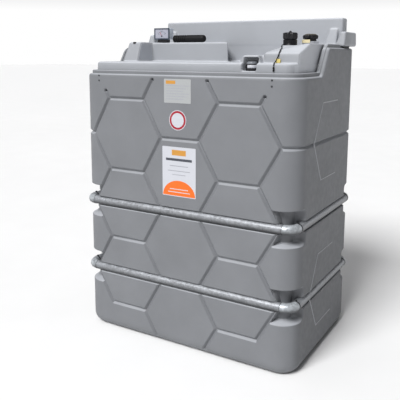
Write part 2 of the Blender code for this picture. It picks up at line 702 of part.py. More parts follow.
def suction_fitting():
    foot = SUCTION_SEAT_Z + CONTACT_GAP
    top = foot + SUCTION_NECK_HEIGHT
    finish(turned_ring("suction_neck", SUCTION_NECK_RADIUS, SUCTION_BORE_RADIUS, (foot, top), SUCTION_AT, 20),
           BLACK_PLASTIC)
    foot = top + CONTACT_GAP
    top = foot + SUCTION_CAP_HEIGHT
    swell = 0.005
    reach = SUCTION_CAP_RADIUS - swell
    profile = ((foot, reach - 0.004, swell - 0.002), (foot + 0.006, reach, swell),
               (foot + 0.017, reach - 0.001, swell), (top - 0.004, reach - 0.008, swell - 0.002),
               (top, reach - 0.019, 0.0))
    finish(lobed("suction_cap", profile, SUCTION_AT, lobes=6, points_per_lobe=6), BLACK_PLASTIC)


def leak_indicator():
    foot = NICHE_Z[0] + CONTACT_GAP
    top = foot + INDICATOR_HEIGHT
    profile = ((INDICATOR_RADIUS, foot), (INDICATOR_RADIUS, top - 0.006), (INDICATOR_RADIUS - 0.006, top))
    finish(turned("indicator_body", profile, INDICATOR_AT), BLACK_PLASTIC)
    low, high = INDICATOR_BAND
    ring = turned_ring("indicator_band", INDICATOR_RADIUS + 0.0022, INDICATOR_RADIUS + CONTACT_GAP,
                       (foot + low, foot + high), INDICATOR_AT)
    finish(ring, DIAL_WHITE)


def level_gauge():
    width, depth, height = GAUGE_SIZE
    x_range = (GAUGE_X - width / 2, GAUGE_X + width / 2)
    z_range = (GAUGE_BASE_Z, GAUGE_BASE_Z + height)
    back_y = GAUGE_FRONT_Y + depth
    middle_y = GAUGE_FRONT_Y + depth / 2
    foot_half = (0.032, 0.018)
    foot = rectangle((GAUGE_X - foot_half[0], GAUGE_X + foot_half[0]),
                     (middle_y - foot_half[1], middle_y + foot_half[1]))
    finish(prism_z("gauge_foot", foot, (CONSOLE_Z + CONTACT_GAP, GAUGE_BASE_Z - CONTACT_GAP)), BLACK_PLASTIC)

    body_front = GAUGE_FRONT_Y + GAUGE_BEZEL_DEPTH
    body = frustum("gauge_body", (x_range, (body_front, back_y)), (x_range, (body_front, back_y - 0.006)), z_range)
    round_edges(body, 0.004)
    finish(body, GAUGE_FRAME)

    bezel_y = (GAUGE_FRONT_Y, body_front - CONTACT_GAP)
    bezel = prism_y("gauge_bezel", rectangle(x_range, z_range), bezel_y)
    inner_x, inner_z = [(low + GAUGE_BORDER, high - GAUGE_BORDER) for low, high in (x_range, z_range)]
    combine(bezel, prism_y("gauge_bezel_tool", rectangle(inner_x, inner_z), (GAUGE_FRONT_Y - 0.01, back_y)),
            'DIFFERENCE')
    finish(bezel, GAUGE_FRAME)
    dial_x, dial_z = [(low + CONTACT_GAP, high - CONTACT_GAP) for low, high in (inner_x, inner_z)]
    finish(prism_y("gauge_dial", rectangle(dial_x, dial_z), (GAUGE_FRONT_Y + 0.003, bezel_y[1])), DIAL_WHITE)


def ribbed_sleeve():
    """Black sleeve lying on the console, ribbed on its left part, with a round right end."""
    left, right = SLEEVE_X
    axis_z = CONSOLE_Z + SLEEVE_RADIUS + CONTACT_GAP
    pitch = 0.014
    valley = SLEEVE_RADIUS - 0.0025
    profile = [(left, SLEEVE_RADIUS - 0.004)]
    x = left + 0.004
    for _ in range(SLEEVE_RIBS):
        profile += [(x, SLEEVE_RADIUS), (x + pitch * 0.5, SLEEVE_RADIUS),
                    (x + pitch * 0.65, valley), (x + pitch * 0.85, valley)]
        x += pitch
    profile.append((x, SLEEVE_RADIUS))
    nose = SLEEVE_RADIUS * 0.9
    for i in range(4):
        turn = radians(25) * i
        profile.append((right - nose + nose * sin(turn), SLEEVE_RADIUS * cos(turn)))
    rings = [[(x, SLEEVE_Y + u, axis_z + v) for u, v in circle(radius, 14)] for x, radius in profile]
    finish(loft("ribbed_sleeve", rings), BLACK_RUBBER)


def smooth_route(points, count):
    """Points along a Catmull-Rom curve through the given route."""
    route = [Vector(point) for point in points]
    route = [2 * route[0] - route[1]] + route + [2 * route[-1] - route[-2]]
    spans = len(route) - 3
    result = []
    for i in range(count + 1):
        place = min(i * spans / count, spans - 1e-6)
        k = int(place)
        t = place - k
        a, b, c, d = route[k:k + 4]
        result.append(0.5 * (2 * b + (c - a) * t + (2 * a - 5 * b + 4 * c - d) * t ** 2
                             + (3 * b - a - 3 * c + d) * t ** 3))
    return result


def cap_cord():
    """The cap's cord, and the clip at its end that hangs over the deck's front edge."""
    points = smooth_route(CORD_ROUTE, CORD_POINTS)
    curve = bpy.data.curves.new("cap_cord", 'CURVE')
    curve.dimensions = '3D'
    curve.bevel_depth = CORD_RADIUS
    curve.bevel_resolution = 2
    curve.use_fill_caps = True
    spline = curve.splines.new('POLY')
    spline.points.add(len(points) - 1)
    for slot, point in zip(spline.points, points):
        slot.co = (*point, 1.0)
    finish(add_object("cap_cord", curve), BLACK_RUBBER)

    x, y, z = CORD_ROUTE[-1]
    top = z - 4 * CONTACT_GAP
    foot = top - CLIP_LENGTH
    neck = CLIP_RADIUS - 0.001
    profile = ((neck, foot), (CLIP_RADIUS, foot + 0.004), (CLIP_RADIUS, top - 0.006), (neck, top))
    finish(turned("cord_clip", profile, (x, y - 0.0004), 10), BLACK_RUBBER)


def rest_pads():
    """Rubber blocks between the shell's rear rim and the shoulders of the top."""
    for label, way in (("left", -1), ("right", 1)):
        plan = rectangle(sorted(way * x for x in PAD_X), PAD_Y)
        pad = prism_z(f"rest_pad_{label}", plan, (RIM_REAR_Z + CONTACT_GAP, SHOULDER_Z[0] - CONTACT_GAP))
        finish(pad, BLACK_RUBBER)


def build():
    clear_scene()
    bund_shell()
    inner_tank()
    tank_top()
    for band, height in BAND_HEIGHTS.items():
        tube_band(band, height)
    filler_fitting()
    suction_fitting()
    leak_indicator()
    level_gauge()
    ribbed_sleeve()
    cap_cord()
    rest_pads()


build()
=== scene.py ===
"""Looks of the double-walled storage tank: soft mouldings, galvanised bands, fittings, plain labels and light.

Everything is in metres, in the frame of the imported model: +Z up, long front face along -Y, right end along +X.
"""

from math import atan2, cos, pi, radians, sin, tan

import bmesh
import bpy
import numpy as np
from mathutils import Matrix, Vector
from mathutils.geometry import delaunay_2d_cdt


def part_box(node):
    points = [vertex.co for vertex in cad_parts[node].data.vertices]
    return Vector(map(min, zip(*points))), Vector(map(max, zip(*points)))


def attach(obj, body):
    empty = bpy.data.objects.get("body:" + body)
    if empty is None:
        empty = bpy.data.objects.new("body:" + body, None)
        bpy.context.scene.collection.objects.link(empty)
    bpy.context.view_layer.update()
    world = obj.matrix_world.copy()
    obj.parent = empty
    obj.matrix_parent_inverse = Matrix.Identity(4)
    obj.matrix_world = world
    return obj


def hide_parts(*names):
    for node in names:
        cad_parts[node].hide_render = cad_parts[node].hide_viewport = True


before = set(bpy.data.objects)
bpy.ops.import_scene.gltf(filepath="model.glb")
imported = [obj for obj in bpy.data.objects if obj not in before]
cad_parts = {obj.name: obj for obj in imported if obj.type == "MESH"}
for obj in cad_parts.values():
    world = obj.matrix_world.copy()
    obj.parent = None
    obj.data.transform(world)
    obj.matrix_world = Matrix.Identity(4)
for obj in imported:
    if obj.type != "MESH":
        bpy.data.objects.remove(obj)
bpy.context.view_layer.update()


def centre_of(node):
    low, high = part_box(node)
    return (low + high) / 2


def size_of(node):
    low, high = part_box(node)
    return high - low


# Camera: level in the photograph, here tilted a little so that other views keep the tank in the picture
CAMERA_AT = (1.4856, -2.6976, 1.4565)
CAMERA_YAW = radians(30.779)
CAMERA_TILT = radians(9.0)
CAMERA_ROLL = radians(0.14)
CAMERA_LENS = 52.53
CAMERA_SHIFT_Y = -0.1334

# Outer shell
LENGTH, DEPTH, _ = size_of("bund_shell")
CORNER_RADIUS = 0.100
FOOT_RADIUS = 0.056
RIM_FRONT_Z = 1.358
RIM_REAR_Z = 1.488
RAMP_Y = (-0.120, -0.035)
RAMP_EASE = 0.012
RIM_EDGE = 0.013
LIP_INSET = 0.018
LIP_INNER_INSET = 0.038
LIP_RISE = 0.018
LIP_RAMP_SHIFT = 0.020
LIP_EDGE = 0.006
LIP_REAR_END_Y = 0.170
LIP_FOOT_Z = 1.300
POCKET_X = (0.220, 0.420)
POCKET_DEPTH = 0.012
POCKET_SLOPE = 0.011

# Honeycomb grooves, tied to the heights of the two bands
BAND_HEIGHTS = {band: centre_of(f"{band}_tube_front").z for band in ("upper", "lower")}
HEX_HALF = (BAND_HEIGHTS["upper"] - BAND_HEIGHTS["lower"]) / 2
HEX_SIDE = HEX_HALF / cos(radians(30))
HEX_SLOPE = tan(radians(30))
GROOVE_Z = BAND_HEIGHTS["upper"] + 2 * HEX_HALF
HEX_TIP = 2.5 * HEX_SIDE
GROOVE_HALF_WIDTH = 0.0115
GROOVE_DEPTH = 0.0125
V_ROUNDING = 0.14
BEAD_HALF_WIDTH = 0.0034
BEAD_RISE = 0.0018
DIMPLE_RADIUS = 0.0095
DIMPLE_DEPTH = 0.019
SLANT_END_Z = 1.336
STUB_END_Z = 1.274
FOOT_END_Z = 0.034

# Channels and corner recesses behind the bands
TUBE_RADIUS = size_of("upper_tube_front").y / 2
TUBE_AXIS_IN = DEPTH / 2 + centre_of("upper_tube_front").y
JOINT_RISE = 0.0005
JOINT_WIDTH = 0.0022
SIDE_JOINT_WIDTH = 0.009
CHANNEL_REACH = 0.0248
CHANNEL_EDGE = 0.005
RECESS_HALF_HEIGHT = 0.087
RECESS_DEPTH = 0.050
RECESS_WALL = 0.020
RECESS_END_Y = 0.274
RECESS_SOFTNESS = 0.026
RECESS_END_SLOPE = 0.75

# Perimeter of the right half: front face, front corner, end face, back corner, back face
FLAT_HALF = LENGTH / 2 - CORNER_RADIUS
END_HALF = DEPTH / 2 - CORNER_RADIUS
CORNER_RUN = CORNER_RADIUS * pi / 2
S_CORNER = FLAT_HALF
S_END = S_CORNER + CORNER_RUN
S_BACK_CORNER = S_END + 2 * END_HALF
S_BACK = S_BACK_CORNER + CORNER_RUN
S_LAST = S_BACK + FLAT_HALF
S_RECESS_END = S_END + END_HALF - RECESS_END_Y

# What evens out the light: the white floor and the deck throw light back that the photo doesn't have
END_FALL_Z = (0.35, 1.15)
END_FALL = (0.79, 1.0)
FRONT_TONE = 0.86
SIDE_TONE = 1.50

# Fineness of the remeshed top, and the share of its faces that is kept
TOP_VOXEL = 0.0040
TOP_KEPT = 0.35

# Depth of the lobes of the filler's cap and of the suction cap
CAP_LOBE = 0.0028
LOW_CAP_LOBE = 0.005

# Thickness of the labels' sheets and of one layer of their print
SHEET = 0.0006
INK = 0.00015

# Route of the cap's cord, as the solid model has it
CORD_ROUTE = [
    (0.350, -0.006, 1.5030), (0.3515, -0.020, 1.4960), (0.362, -0.045, 1.4920), (0.385, -0.095, 1.4890),
    (0.410, -0.155, 1.4855), (0.437, -0.224, 1.4828), (0.449, -0.260, 1.4780), (0.456, -0.286, 1.4690),
    (0.4575, -0.2990, 1.4590), (0.4550, -0.3035, 1.4460), (0.4500, -0.3065, 1.4340), (0.4485, -0.3130, 1.4250),
    (0.4515, -0.3280, 1.4218), (0.4575, -0.3430, 1.4216), (0.4595, -0.3535, 1.4185), (0.4600, -0.3582, 1.4120),
    (0.4600, -0.3592, 1.4055),
]
CORD_POINTS = 60
CORD_DIAMETER = 0.0044


# Small tools

def link(obj):
    bpy.context.scene.collection.objects.link(obj)
    return obj


def mesh_object(name, vertices, faces, material, smooth=True):
    mesh = bpy.data.meshes.new(name)
    mesh.from_pydata([tuple(v) for v in vertices], [], faces)
    mesh.validate()
    if smooth:
        mesh.shade_smooth()
    mesh.materials.append(material)
    return link(bpy.data.objects.new(name, mesh))


def place(obj, slot, *replaced):
    """Rides the piece on the tank and hides the solids that it stands for; slot is not used."""
    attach(obj, "root")
    if replaced:
        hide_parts(*replaced)
    return obj


def sharpen(obj, angle=40):
    obj.data.set_sharp_from_angle(angle=radians(angle))
    modifier = obj.modifiers.new("face_weights", 'WEIGHTED_NORMAL')
    modifier.keep_sharp = True
    return obj


def rect(u0, u1, v0, v1):
    return [(u0, v0), (u1, v0), (u1, v1), (u0, v1)]


def disc(radius, steps=40, centre=(0.0, 0.0)):
    return [(centre[0] + radius * cos(2 * pi * i / steps), centre[1] + radius * sin(2 * pi * i / steps))
            for i in range(steps)]


def grid_faces(rows, columns, ring_shaped=True):
    """Quads between rows of points; every row is closed if ring_shaped."""
    pairs = [(c, (c + 1) % columns) for c in range(columns if ring_shaped else columns - 1)]
    return [(r * columns + c, r * columns + d, (r + 1) * columns + d, (r + 1) * columns + c)
            for r in range(rows - 1) for c, d in pairs]


def capped_faces(rows, sides):
    """Faces of a skin over a row of rings, with a flat cap at each end."""
    last = (rows - 1) * sides
    return grid_faces(rows, sides) + [tuple(reversed(range(sides))), tuple(range(last, last + sides))]


def turned(name, profile, centre, material, sides=64, lobes=0, swell=0.0):
    """A solid of revolution about a vertical axis; profile holds (radius, height) or, where it has lobes,
    (radius, height, share of the swell)."""
    vertices = []
    for radius, z, *share in profile:
        for i in range(sides):
            turn = 2 * pi * i / sides
            reach = radius + swell * sum(share) * cos(lobes * turn)
            vertices.append((centre[0] + reach * cos(turn), centre[1] + reach * sin(turn), z))
    return sharpen(mesh_object(name, vertices, capped_faces(len(profile), sides), material))


def fitting(name, node, profile, look="black", slot="black_plastic", **form):
    """A turned piece that stands for a solid, about the solid's own upright axis."""
    return place(turned(name, profile, centre_of(node), LOOKS[look], **form), slot, node)


def box_object(name, low, high, material, rounding):
    """A block with softened edges, such as a housing or a card."""
    corners = [(x, y, z) for z in (low[2], high[2]) for x, y in rect(low[0], high[0], low[1], high[1])]
    faces = [(3, 2, 1, 0), (4, 5, 6, 7), (0, 1, 5, 4), (1, 2, 6, 5), (2, 3, 7, 6), (3, 0, 4, 7)]
    obj = mesh_object(name, corners, faces, material)
    modifier = obj.modifiers.new("soft_edges", 'BEVEL')
    modifier.width = rounding
    modifier.segments = 3
    modifier.limit_method = 'ANGLE'
    modifier.angle_limit = radians(30)
    modifier.harden_normals = True
    return obj


def block(name, node, look, slot, rounding):
    """A block that stands for a solid."""
    return place(box_object(name, *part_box(node), LOOKS[look], rounding), slot, node)


def round_box(node):
    """Foot, head and radius of an upright round solid."""
    low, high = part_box(node)
    return low.z, high.z, (high.x - low.x) / 2


def joined(name, objects):
    """Joins several objects into one, with the modifiers of each applied."""
    graph = bpy.context.evaluated_depsgraph_get()
    bm = bmesh.new()
    materials = []
    for obj in objects:
        mesh = bpy.data.meshes.new_from_object(obj.evaluated_get(graph))
        mesh.transform(obj.matrix_world)
        first = len(materials)
        materials += list(mesh.materials)
        for polygon in mesh.polygons:
            polygon.material_index += first
        bm.from_mesh(mesh)
        bpy.data.objects.remove(obj)
        bpy.data.meshes.remove(mesh)
    mesh = bpy.data.meshes.new(name)
    bm.to_mesh(mesh)
    bm.free()
    for material in materials:
        mesh.materials.append(material)
    return link(bpy.data.objects.new(name, mesh))


# Materials

def new_material(name, colour, roughness, metallic=0.0):
    material = bpy.data.materials.new(name)
    material.use_nodes = True
    shader = material.node_tree.nodes["Principled BSDF"]
    shader.inputs["Base Color"].default_value = (*colour, 1.0)
    shader.inputs["Roughness"].default_value = roughness
    shader.inputs["Metallic"].default_value = metallic
    return material, material.node_tree, shader


def add_node(tree, kind, inputs=None, **settings):
    node = tree.nodes.new(kind)
    for key, value in settings.items():
        setattr(node, key, value)
    for key, value in (inputs or {}).items():
        node.inputs[key].default_value = value
    return node


def noise(tree, scale, detail=3.0):
    """Noise over the object's own coordinates."""
    node = add_node(tree, "ShaderNodeTexNoise", {"Scale": scale, "Detail": detail})
    tree.links.new(add_node(tree, "ShaderNodeTexCoord").outputs["Object"], node.inputs["Vector"])
    return node.outputs["Fac"]


def ranged(tree, value, low, high, source=(0.3, 0.7)):
    node = add_node(tree, "ShaderNodeMapRange", {"From Min": source[0], "From Max": source[1],
                                                 "To Min": low, "To Max": high})
    tree.links.new(value, node.inputs["Value"])
    return node.outputs["Result"]


def blend_colours(tree, factor, dark, light):
    node = add_node(tree, "ShaderNodeMix", data_type='RGBA')
    node.inputs["A"].default_value = (*dark, 1.0)
    node.inputs["B"].default_value = (*light, 1.0)
    tree.links.new(factor, node.inputs["Factor"])
    return node.outputs["Result"]


def add_bump(tree, shader, layers):
    """Chains bump layers; each layer is (height output, depth in metres, strength)."""
    normal = None
    for height, distance, strength in layers:
        node = add_node(tree, "ShaderNodeBump", {"Distance": distance, "Strength": strength})
        tree.links.new(height, node.inputs["Height"])
        if normal:
            tree.links.new(normal, node.inputs["Normal"])
        normal = node.outputs["Normal"]
    tree.links.new(normal, shader.inputs["Normal"])


def axis_of(tree, output, axis):
    """One axis of the surface's Position or Normal in the world."""
    split = add_node(tree, "ShaderNodeSeparateXYZ")
    tree.links.new(add_node(tree, "ShaderNodeNewGeometry").outputs[output], split.inputs["Vector"])
    return split.outputs[axis]


def scaled(tree, colour, gain):
    node = add_node(tree, "ShaderNodeVectorMath", operation='SCALE')
    tree.links.new(colour, node.inputs["Vector"])
    tree.links.new(gain, node.inputs["Scale"])
    return node.outputs["Vector"]


def by_upward_look(tree, colour, source, low, high):
    """Painted light and shade: multiplies a colour by low where the surface's upward share is at the source's start,
    by high at its end.
    """
    return scaled(tree, colour, ranged(tree, axis_of(tree, "Normal", "Z"), low, high, source))


def sideways(tree, start, end):
    """Share from 0 to 1 as the surface looks along X by start to end."""
    aside = add_node(tree, "ShaderNodeMath", operation='ABSOLUTE')
    tree.links.new(axis_of(tree, "Normal", "X"), aside.inputs[0])
    return ranged(tree, aside.outputs["Value"], 0.0, 1.0, (start, end))


def between(tree, factor, low, high):
    """Blends two values, each of them a number or an output."""
    node = add_node(tree, "ShaderNodeMix", data_type='FLOAT')
    for key, value in (("Factor", factor), ("A", low), ("B", high)):
        if isinstance(value, float):
            node.inputs[key].default_value = value
        else:
            tree.links.new(value, node.inputs[key])
    return node.outputs["Result"]


def darker_low_ends(tree, colour):
    """Takes back what the white floor throws on the lower part of the end faces."""
    fall = ranged(tree, axis_of(tree, "Position", "Z"), *END_FALL, END_FALL_Z)
    return scaled(tree, colour, between(tree, sideways(tree, 0.8, 1.0), 1.0, fall))


def calmer_front(tree, colour):
    """Evens out the faces before the rear panel: fronts take light from the deck, sides get too little."""
    run = axis_of(tree, "Position", "Y")
    side = ranged(tree, run, SIDE_TONE, FRONT_TONE, (0.10, 0.16))
    front = between(tree, sideways(tree, 0.80, 0.97), FRONT_TONE, side)
    return scaled(tree, colour, between(tree, ranged(tree, run, 0.0, 1.0, (0.22, 0.30)), front, 1.0))


def shades(colour, spread):
    """A darker and a lighter shade of a colour."""
    return [c * (1 - spread) for c in colour], [c * (1 + spread) for c in colour]


def moulded_plastic(name, colour, painted_top_light, correction, variation=0.06):
    """Rotomoulded plastic: a fine grain, slow waves, faint cloudy patches, and a painted highlight that makes it paler
    where it looks up.
    """
    material, tree, shader = new_material(name, colour, 0.60)
    shader.inputs["Specular IOR Level"].default_value = 0.25
    patches = ranged(tree, noise(tree, 5.0, 5.0), 0.0, 1.0)
    mixed = correction(tree, blend_colours(tree, patches, *shades(colour, variation)))
    # Painted highlight: the colour is raised where the surface looks up, standing in for the sheen of an overhead
    # light
    tree.links.new(by_upward_look(tree, mixed, painted_top_light[:2], 1.0, painted_top_light[2]), shader.inputs["Base Color"])
    tree.links.new(ranged(tree, noise(tree, 38.0, 4.0), 0.46, 0.60), shader.inputs["Roughness"])
    add_bump(tree, shader, [(noise(tree, 9.0, 1.0), 0.0006, 0.5), (noise(tree, 620.0, 2.0), 0.00012, 0.6)])
    return material


def galvanised(name, colour):
    """Hot-dip zinc: crystal patches of differing brightness and gloss, with painted light above and painted shade
    below.
    """
    material, tree, shader = new_material(name, colour, 0.42, 0.40)
    crystals = add_node(tree, "ShaderNodeTexVoronoi", {"Scale": 120.0, "Randomness": 1.0})
    tree.links.new(add_node(tree, "ShaderNodeTexCoord").outputs["Object"], crystals.inputs["Vector"])
    patches = add_node(tree, "ShaderNodeMix", {"Factor": 0.45}, data_type='FLOAT')
    tree.links.new(crystals.outputs["Color"], patches.inputs["A"])
    tree.links.new(noise(tree, 26.0, 5.0), patches.inputs["B"])
    share = ranged(tree, patches.outputs["Result"], 0.0, 1.0, (0.25, 0.75))
    mixed = blend_colours(tree, share, [c * 0.72 for c in colour], [c * 1.22 for c in colour])
    # Painted light on the upper side and painted shade on the underside, driven by the surface's upward share
    tree.links.new(by_upward_look(tree, mixed, (-0.55, 0.45), 0.22, 1.35), shader.inputs["Base Color"])
    tree.links.new(ranged(tree, share, 0.30, 0.50, (0.0, 1.0)), shader.inputs["Roughness"])
    add_bump(tree, shader, [(noise(tree, 60.0, 4.0), 0.0008, 0.35), (crystals.outputs["Distance"], 0.0002, 0.4)])
    return material


def speckled(name, colour, roughness, spread=0.3, scale=260.0, bump=0.0001, gloss=0.5):
    """A plain moulded or painted finish with fine tone changes and a light texture."""
    material, tree, shader = new_material(name, colour, roughness)
    shader.inputs["Specular IOR Level"].default_value = gloss
    fine = noise(tree, scale)
    mixed = blend_colours(tree, ranged(tree, fine, 0.0, 1.0), *shades(colour, spread))
    tree.links.new(mixed, shader.inputs["Base Color"])
    gloss_change = ranged(tree, noise(tree, scale / 6), roughness - 0.08, roughness + 0.08)
    tree.links.new(gloss_change, shader.inputs["Roughness"])
    add_bump(tree, shader, [(fine, bump, 0.5)])
    return material


LOOKS = {
    # Shell and top: painted highlight on faces that look up, given as (start, end, gain) of the upward share
    "shell": moulded_plastic("shell_plastic", (0.168, 0.174, 0.186), (0.50, 1.0, 2.6), darker_low_ends),
    "top": moulded_plastic("top_plastic", (0.330, 0.342, 0.366), (0.45, 0.95, 1.85), calmer_front, variation=0.04),
    # Painted highlight: the beads are paler than the shell, for the light that their flanks catch
    "bead": speckled("bead_highlight_plastic", (0.290, 0.300, 0.318), 0.50, 0.06),
    "tube": galvanised("galvanised_tube", (0.235, 0.244, 0.260)),
    "elbow": galvanised("galvanised_elbow", (0.33, 0.35, 0.37)),
    "black": speckled("black_plastic", (0.008, 0.008, 0.010), 0.40, gloss=0.35),
    "rubber": speckled("black_rubber", (0.006, 0.006, 0.007), 0.55, bump=0.0002, gloss=0.22),
    # Painted sheen: dark brown standing for the olive glint on the suction cap's domed crown
    "crown_sheen": speckled("brown_sheen_plastic", (0.060, 0.054, 0.042), 0.50, 0.25),
    "joint": speckled("dark_joint", (0.014, 0.015, 0.018), 0.60, scale=400.0),
    "frame": speckled("gauge_plastic", (0.045, 0.058, 0.085), 0.36, 0.12),
    "housing": speckled("housing_plastic", (0.72, 0.78, 0.86), 0.40, 0.06),
    "dial": speckled("dial_white", (0.325, 0.330, 0.390), 0.34, 0.03),
    "white": speckled("label_white", (0.48, 0.49, 0.53), 0.42, 0.03),
    "plate": speckled("label_grey", (0.33, 0.34, 0.345), 0.40, 0.05),
    "orange": speckled("label_orange", (0.70, 0.125, 0.004), 0.42, 0.06),
    "amber": speckled("label_amber", (0.50, 0.235, 0.035), 0.42, 0.06),
    "ink": speckled("label_ink", (0.045, 0.050, 0.065), 0.45, 0.2),
    "soft_ink": speckled("label_soft_ink", (0.30, 0.31, 0.34), 0.45, 0.1),
    "red": speckled("label_red", (0.30, 0.008, 0.022), 0.42, 0.08),
    "cream": speckled("cream_plastic", (0.66, 0.58, 0.36), 0.50, 0.06),
    "yellow": speckled("yellow_plastic", (0.62, 0.50, 0.16), 0.48, 0.08),
    "smoked": speckled("smoked_plastic", (0.17, 0.18, 0.20), 0.22, 0.05),
}


# Outer shell: a wall drawn flat as (run along the perimeter, height), then folded round the tank

def plan_point(s):
    """Plan position and outward direction at a run s along the right half of the perimeter."""
    s = np.asarray(s, float)
    turn = sum(np.clip((s - start) / CORNER_RADIUS, 0.0, pi / 2) for start in (S_CORNER, S_BACK_CORNER))
    nx, ny = np.sin(turn), -np.cos(turn)
    x = np.minimum(s, FLAT_HALF) - np.clip(s - S_BACK, 0.0, None) + CORNER_RADIUS * nx
    y = np.clip(s - S_END, 0.0, 2 * END_HALF) - END_HALF + CORNER_RADIUS * ny
    return x, y, nx, ny


def rim_height(y, shift=0.0):
    """Height of the rim, which climbs from the low front to the high rear."""
    foot, head = RAMP_Y[0] + shift, RAMP_Y[1] + shift
    slope = (RIM_REAR_Z - RIM_FRONT_Z) / (head - foot)
    climb = np.clip(y - foot, 0.0, head - foot)
    near_foot = np.abs(y - foot) < RAMP_EASE
    near_head = np.abs(y - head) < RAMP_EASE
    climb = np.where(near_foot, (y - foot + RAMP_EASE) ** 2 / (4 * RAMP_EASE), climb)
    climb = np.where(near_head, head - foot - (head + RAMP_EASE - y) ** 2 / (4 * RAMP_EASE), climb)
    return RIM_FRONT_Z + slope * climb


def groove_rows():
    """All grooves of the right half as ((s, z), (s, z), free end)."""
    near, far, half = HEX_SIDE, 2 * HEX_SIDE, HEX_HALF
    top, foot = GROOVE_Z + half, GROOVE_Z - 5 * half
    lines = [((0.0, GROOVE_Z), (near / 2, GROOVE_Z), False), ((near, top), (far, top), False)]
    for row in range(3):
        centre = GROOVE_Z - 2 * row * half
        lines.append(((near, centre - half), (far, centre - half), False))
        for end_z in (centre + half, centre - half):
            lines.append(((near, end_z), (near / 2, centre), False))
            lines.append(((far, end_z), (HEX_TIP, centre), False))
    for x, z, way, end_z in ((near, top, -1, SLANT_END_Z), (far, top, 1, STUB_END_Z), (near, foot, -1, FOOT_END_Z)):
        lines.append(((x, z), (x + way * HEX_SLOPE * abs(end_z - z), end_z), True))
    back = [((S_LAST - s0, z0), (S_LAST - s1, z1), free) for (s0, z0), (s1, z1), free in lines]
    return lines + back + [((HEX_TIP, GROOVE_Z), (S_LAST - HEX_TIP, GROOVE_Z), False)]


GROOVES = groove_rows()
DIMPLES = [end for _, end, free in GROOVES if free and end[1] > GROOVE_Z]


def soft_v(t):
    """Depth share of a V groove with a rounded bottom and soft shoulders, at t half widths from its line."""
    r = V_ROUNDING
    bottom = 1 - r / 2 - t * t / (2 * r)
    shoulder = (1 + r - t) ** 2 / (4 * r)
    return np.select([t < r, t < 1 - r, t < 1 + r], [bottom, 1 - t, shoulder], 0.0)


def groove_depth(s, z):
    """Depth of the grooves, and of the small dimples at the upper free ends."""
    depth = np.zeros_like(s)
    for s0, z0 in DIMPLES:
        distance = np.hypot(s - s0, z - z0) / DIMPLE_RADIUS
        depth = np.maximum(depth, DIMPLE_DEPTH * np.clip(1.4 * (1 - distance ** 2), 0.0, 1.0))
    for (s0, z0), (s1, z1), _ in GROOVES:
        run_s, run_z = s1 - s0, z1 - z0
        along = np.clip(((s - s0) * run_s + (z - z0) * run_z) / (run_s ** 2 + run_z ** 2), 0.0, 1.0)
        distance = np.hypot(s - s0 - along * run_s, z - z0 - along * run_z)
        depth = np.maximum(depth, GROOVE_DEPTH * soft_v(distance / GROOVE_HALF_WIDTH))
    return depth


def recess_depth(s, z, height):
    """The set-back round the corner that bares an elbow, with a hexagon's tip as its inner side."""
    s = np.where(s > S_LAST / 2, S_LAST - s, s)
    away = np.abs(z - height)
    inside = np.minimum((s - HEX_TIP + HEX_SLOPE * away) * cos(radians(30)), RECESS_HALF_HEIGHT - away)
    end = (S_RECESS_END - s) * RECESS_END_SLOPE
    overlap = np.clip(1 - np.abs(inside - end) / RECESS_SOFTNESS, 0.0, 1.0)
    inside = np.minimum(inside, end) - overlap ** 2 * RECESS_SOFTNESS / 4
    t = np.clip(inside / RECESS_WALL, 0.0, 1.0)
    return RECESS_DEPTH * t ** 3 * (t * (6 * t - 15) + 10)


def channel_depth(z, height):
    """The trough that a tube lies in, with rounded edges."""
    t = np.abs(z - height)
    trough = TUBE_AXIS_IN + np.sqrt(np.clip(CHANNEL_REACH ** 2 - t ** 2, 0.0, None))
    edge = CHANNEL_EDGE - np.sqrt(np.clip(CHANNEL_EDGE ** 2 - (CHANNEL_REACH + CHANNEL_EDGE - t) ** 2, 0.0, None))
    return np.select([t < CHANNEL_REACH - 1e-5, t < CHANNEL_REACH + CHANNEL_EDGE], [trough, edge], 0.0)


def pocket_height(x):
    """Height of the underside: two shallow raised stretches that run from front to back."""
    near, far = POCKET_X
    rise = np.minimum(np.abs(x) - near, far - np.abs(x)) / (2 * POCKET_SLOPE) + 0.5
    return POCKET_DEPTH * np.clip(rise, 0.0, 1.0)


def wall_point(s, z):
    """A point of the outer wall: plan position moved inwards by foot rounding and all carved forms."""
    x, y, nx, ny = plan_point(s)
    z = np.clip(z, 0.0, None)
    below = np.clip(FOOT_RADIUS - z, 0.0, FOOT_RADIUS)
    inset = FOOT_RADIUS - np.sqrt(FOOT_RADIUS ** 2 - below ** 2)
    carved = groove_depth(s, z)
    for height in BAND_HEIGHTS.values():
        carved = np.maximum(carved, recess_depth(s, z, height))
        carved = np.maximum(carved, channel_depth(z, height))
    inset = inset + carved
    x, y = x - nx * inset, y - ny * inset
    return np.stack([x, y, np.maximum(z, pocket_height(x))], axis=-1)


def wall_normals(s, z):
    step = 0.0004
    along = wall_point(s + step, z) - wall_point(s - step, z)
    up = wall_point(s, z + step) - wall_point(s, z - step)
    normal = np.cross(along, up)
    return normal / np.maximum(np.linalg.norm(normal, axis=1, keepdims=True), 1e-12)


class FlatSheet:
    """Collects points and lines of a flat drawing that is then cut into triangles."""

    def __init__(self):
        self.points = []
        self.lines = []

    def line(self, *points):
        first = len(self.points)
        self.points += [Vector(p) for p in points]
        self.lines += [(first + i, first + i + 1) for i in range(len(points) - 1)]

    def loop(self, points):
        self.line(*points, points[0])

    def triangles(self):
        points, _, faces, *_ = delaunay_2d_cdt(self.points, self.lines, [], 1, 1e-6)
        return np.array([tuple(p) for p in points]), [tuple(f) for f in faces]


def across_of(start, end):
    """Direction across a line of a flat drawing."""
    way = (end - start).normalized()
    return Vector((-way.y, way.x))


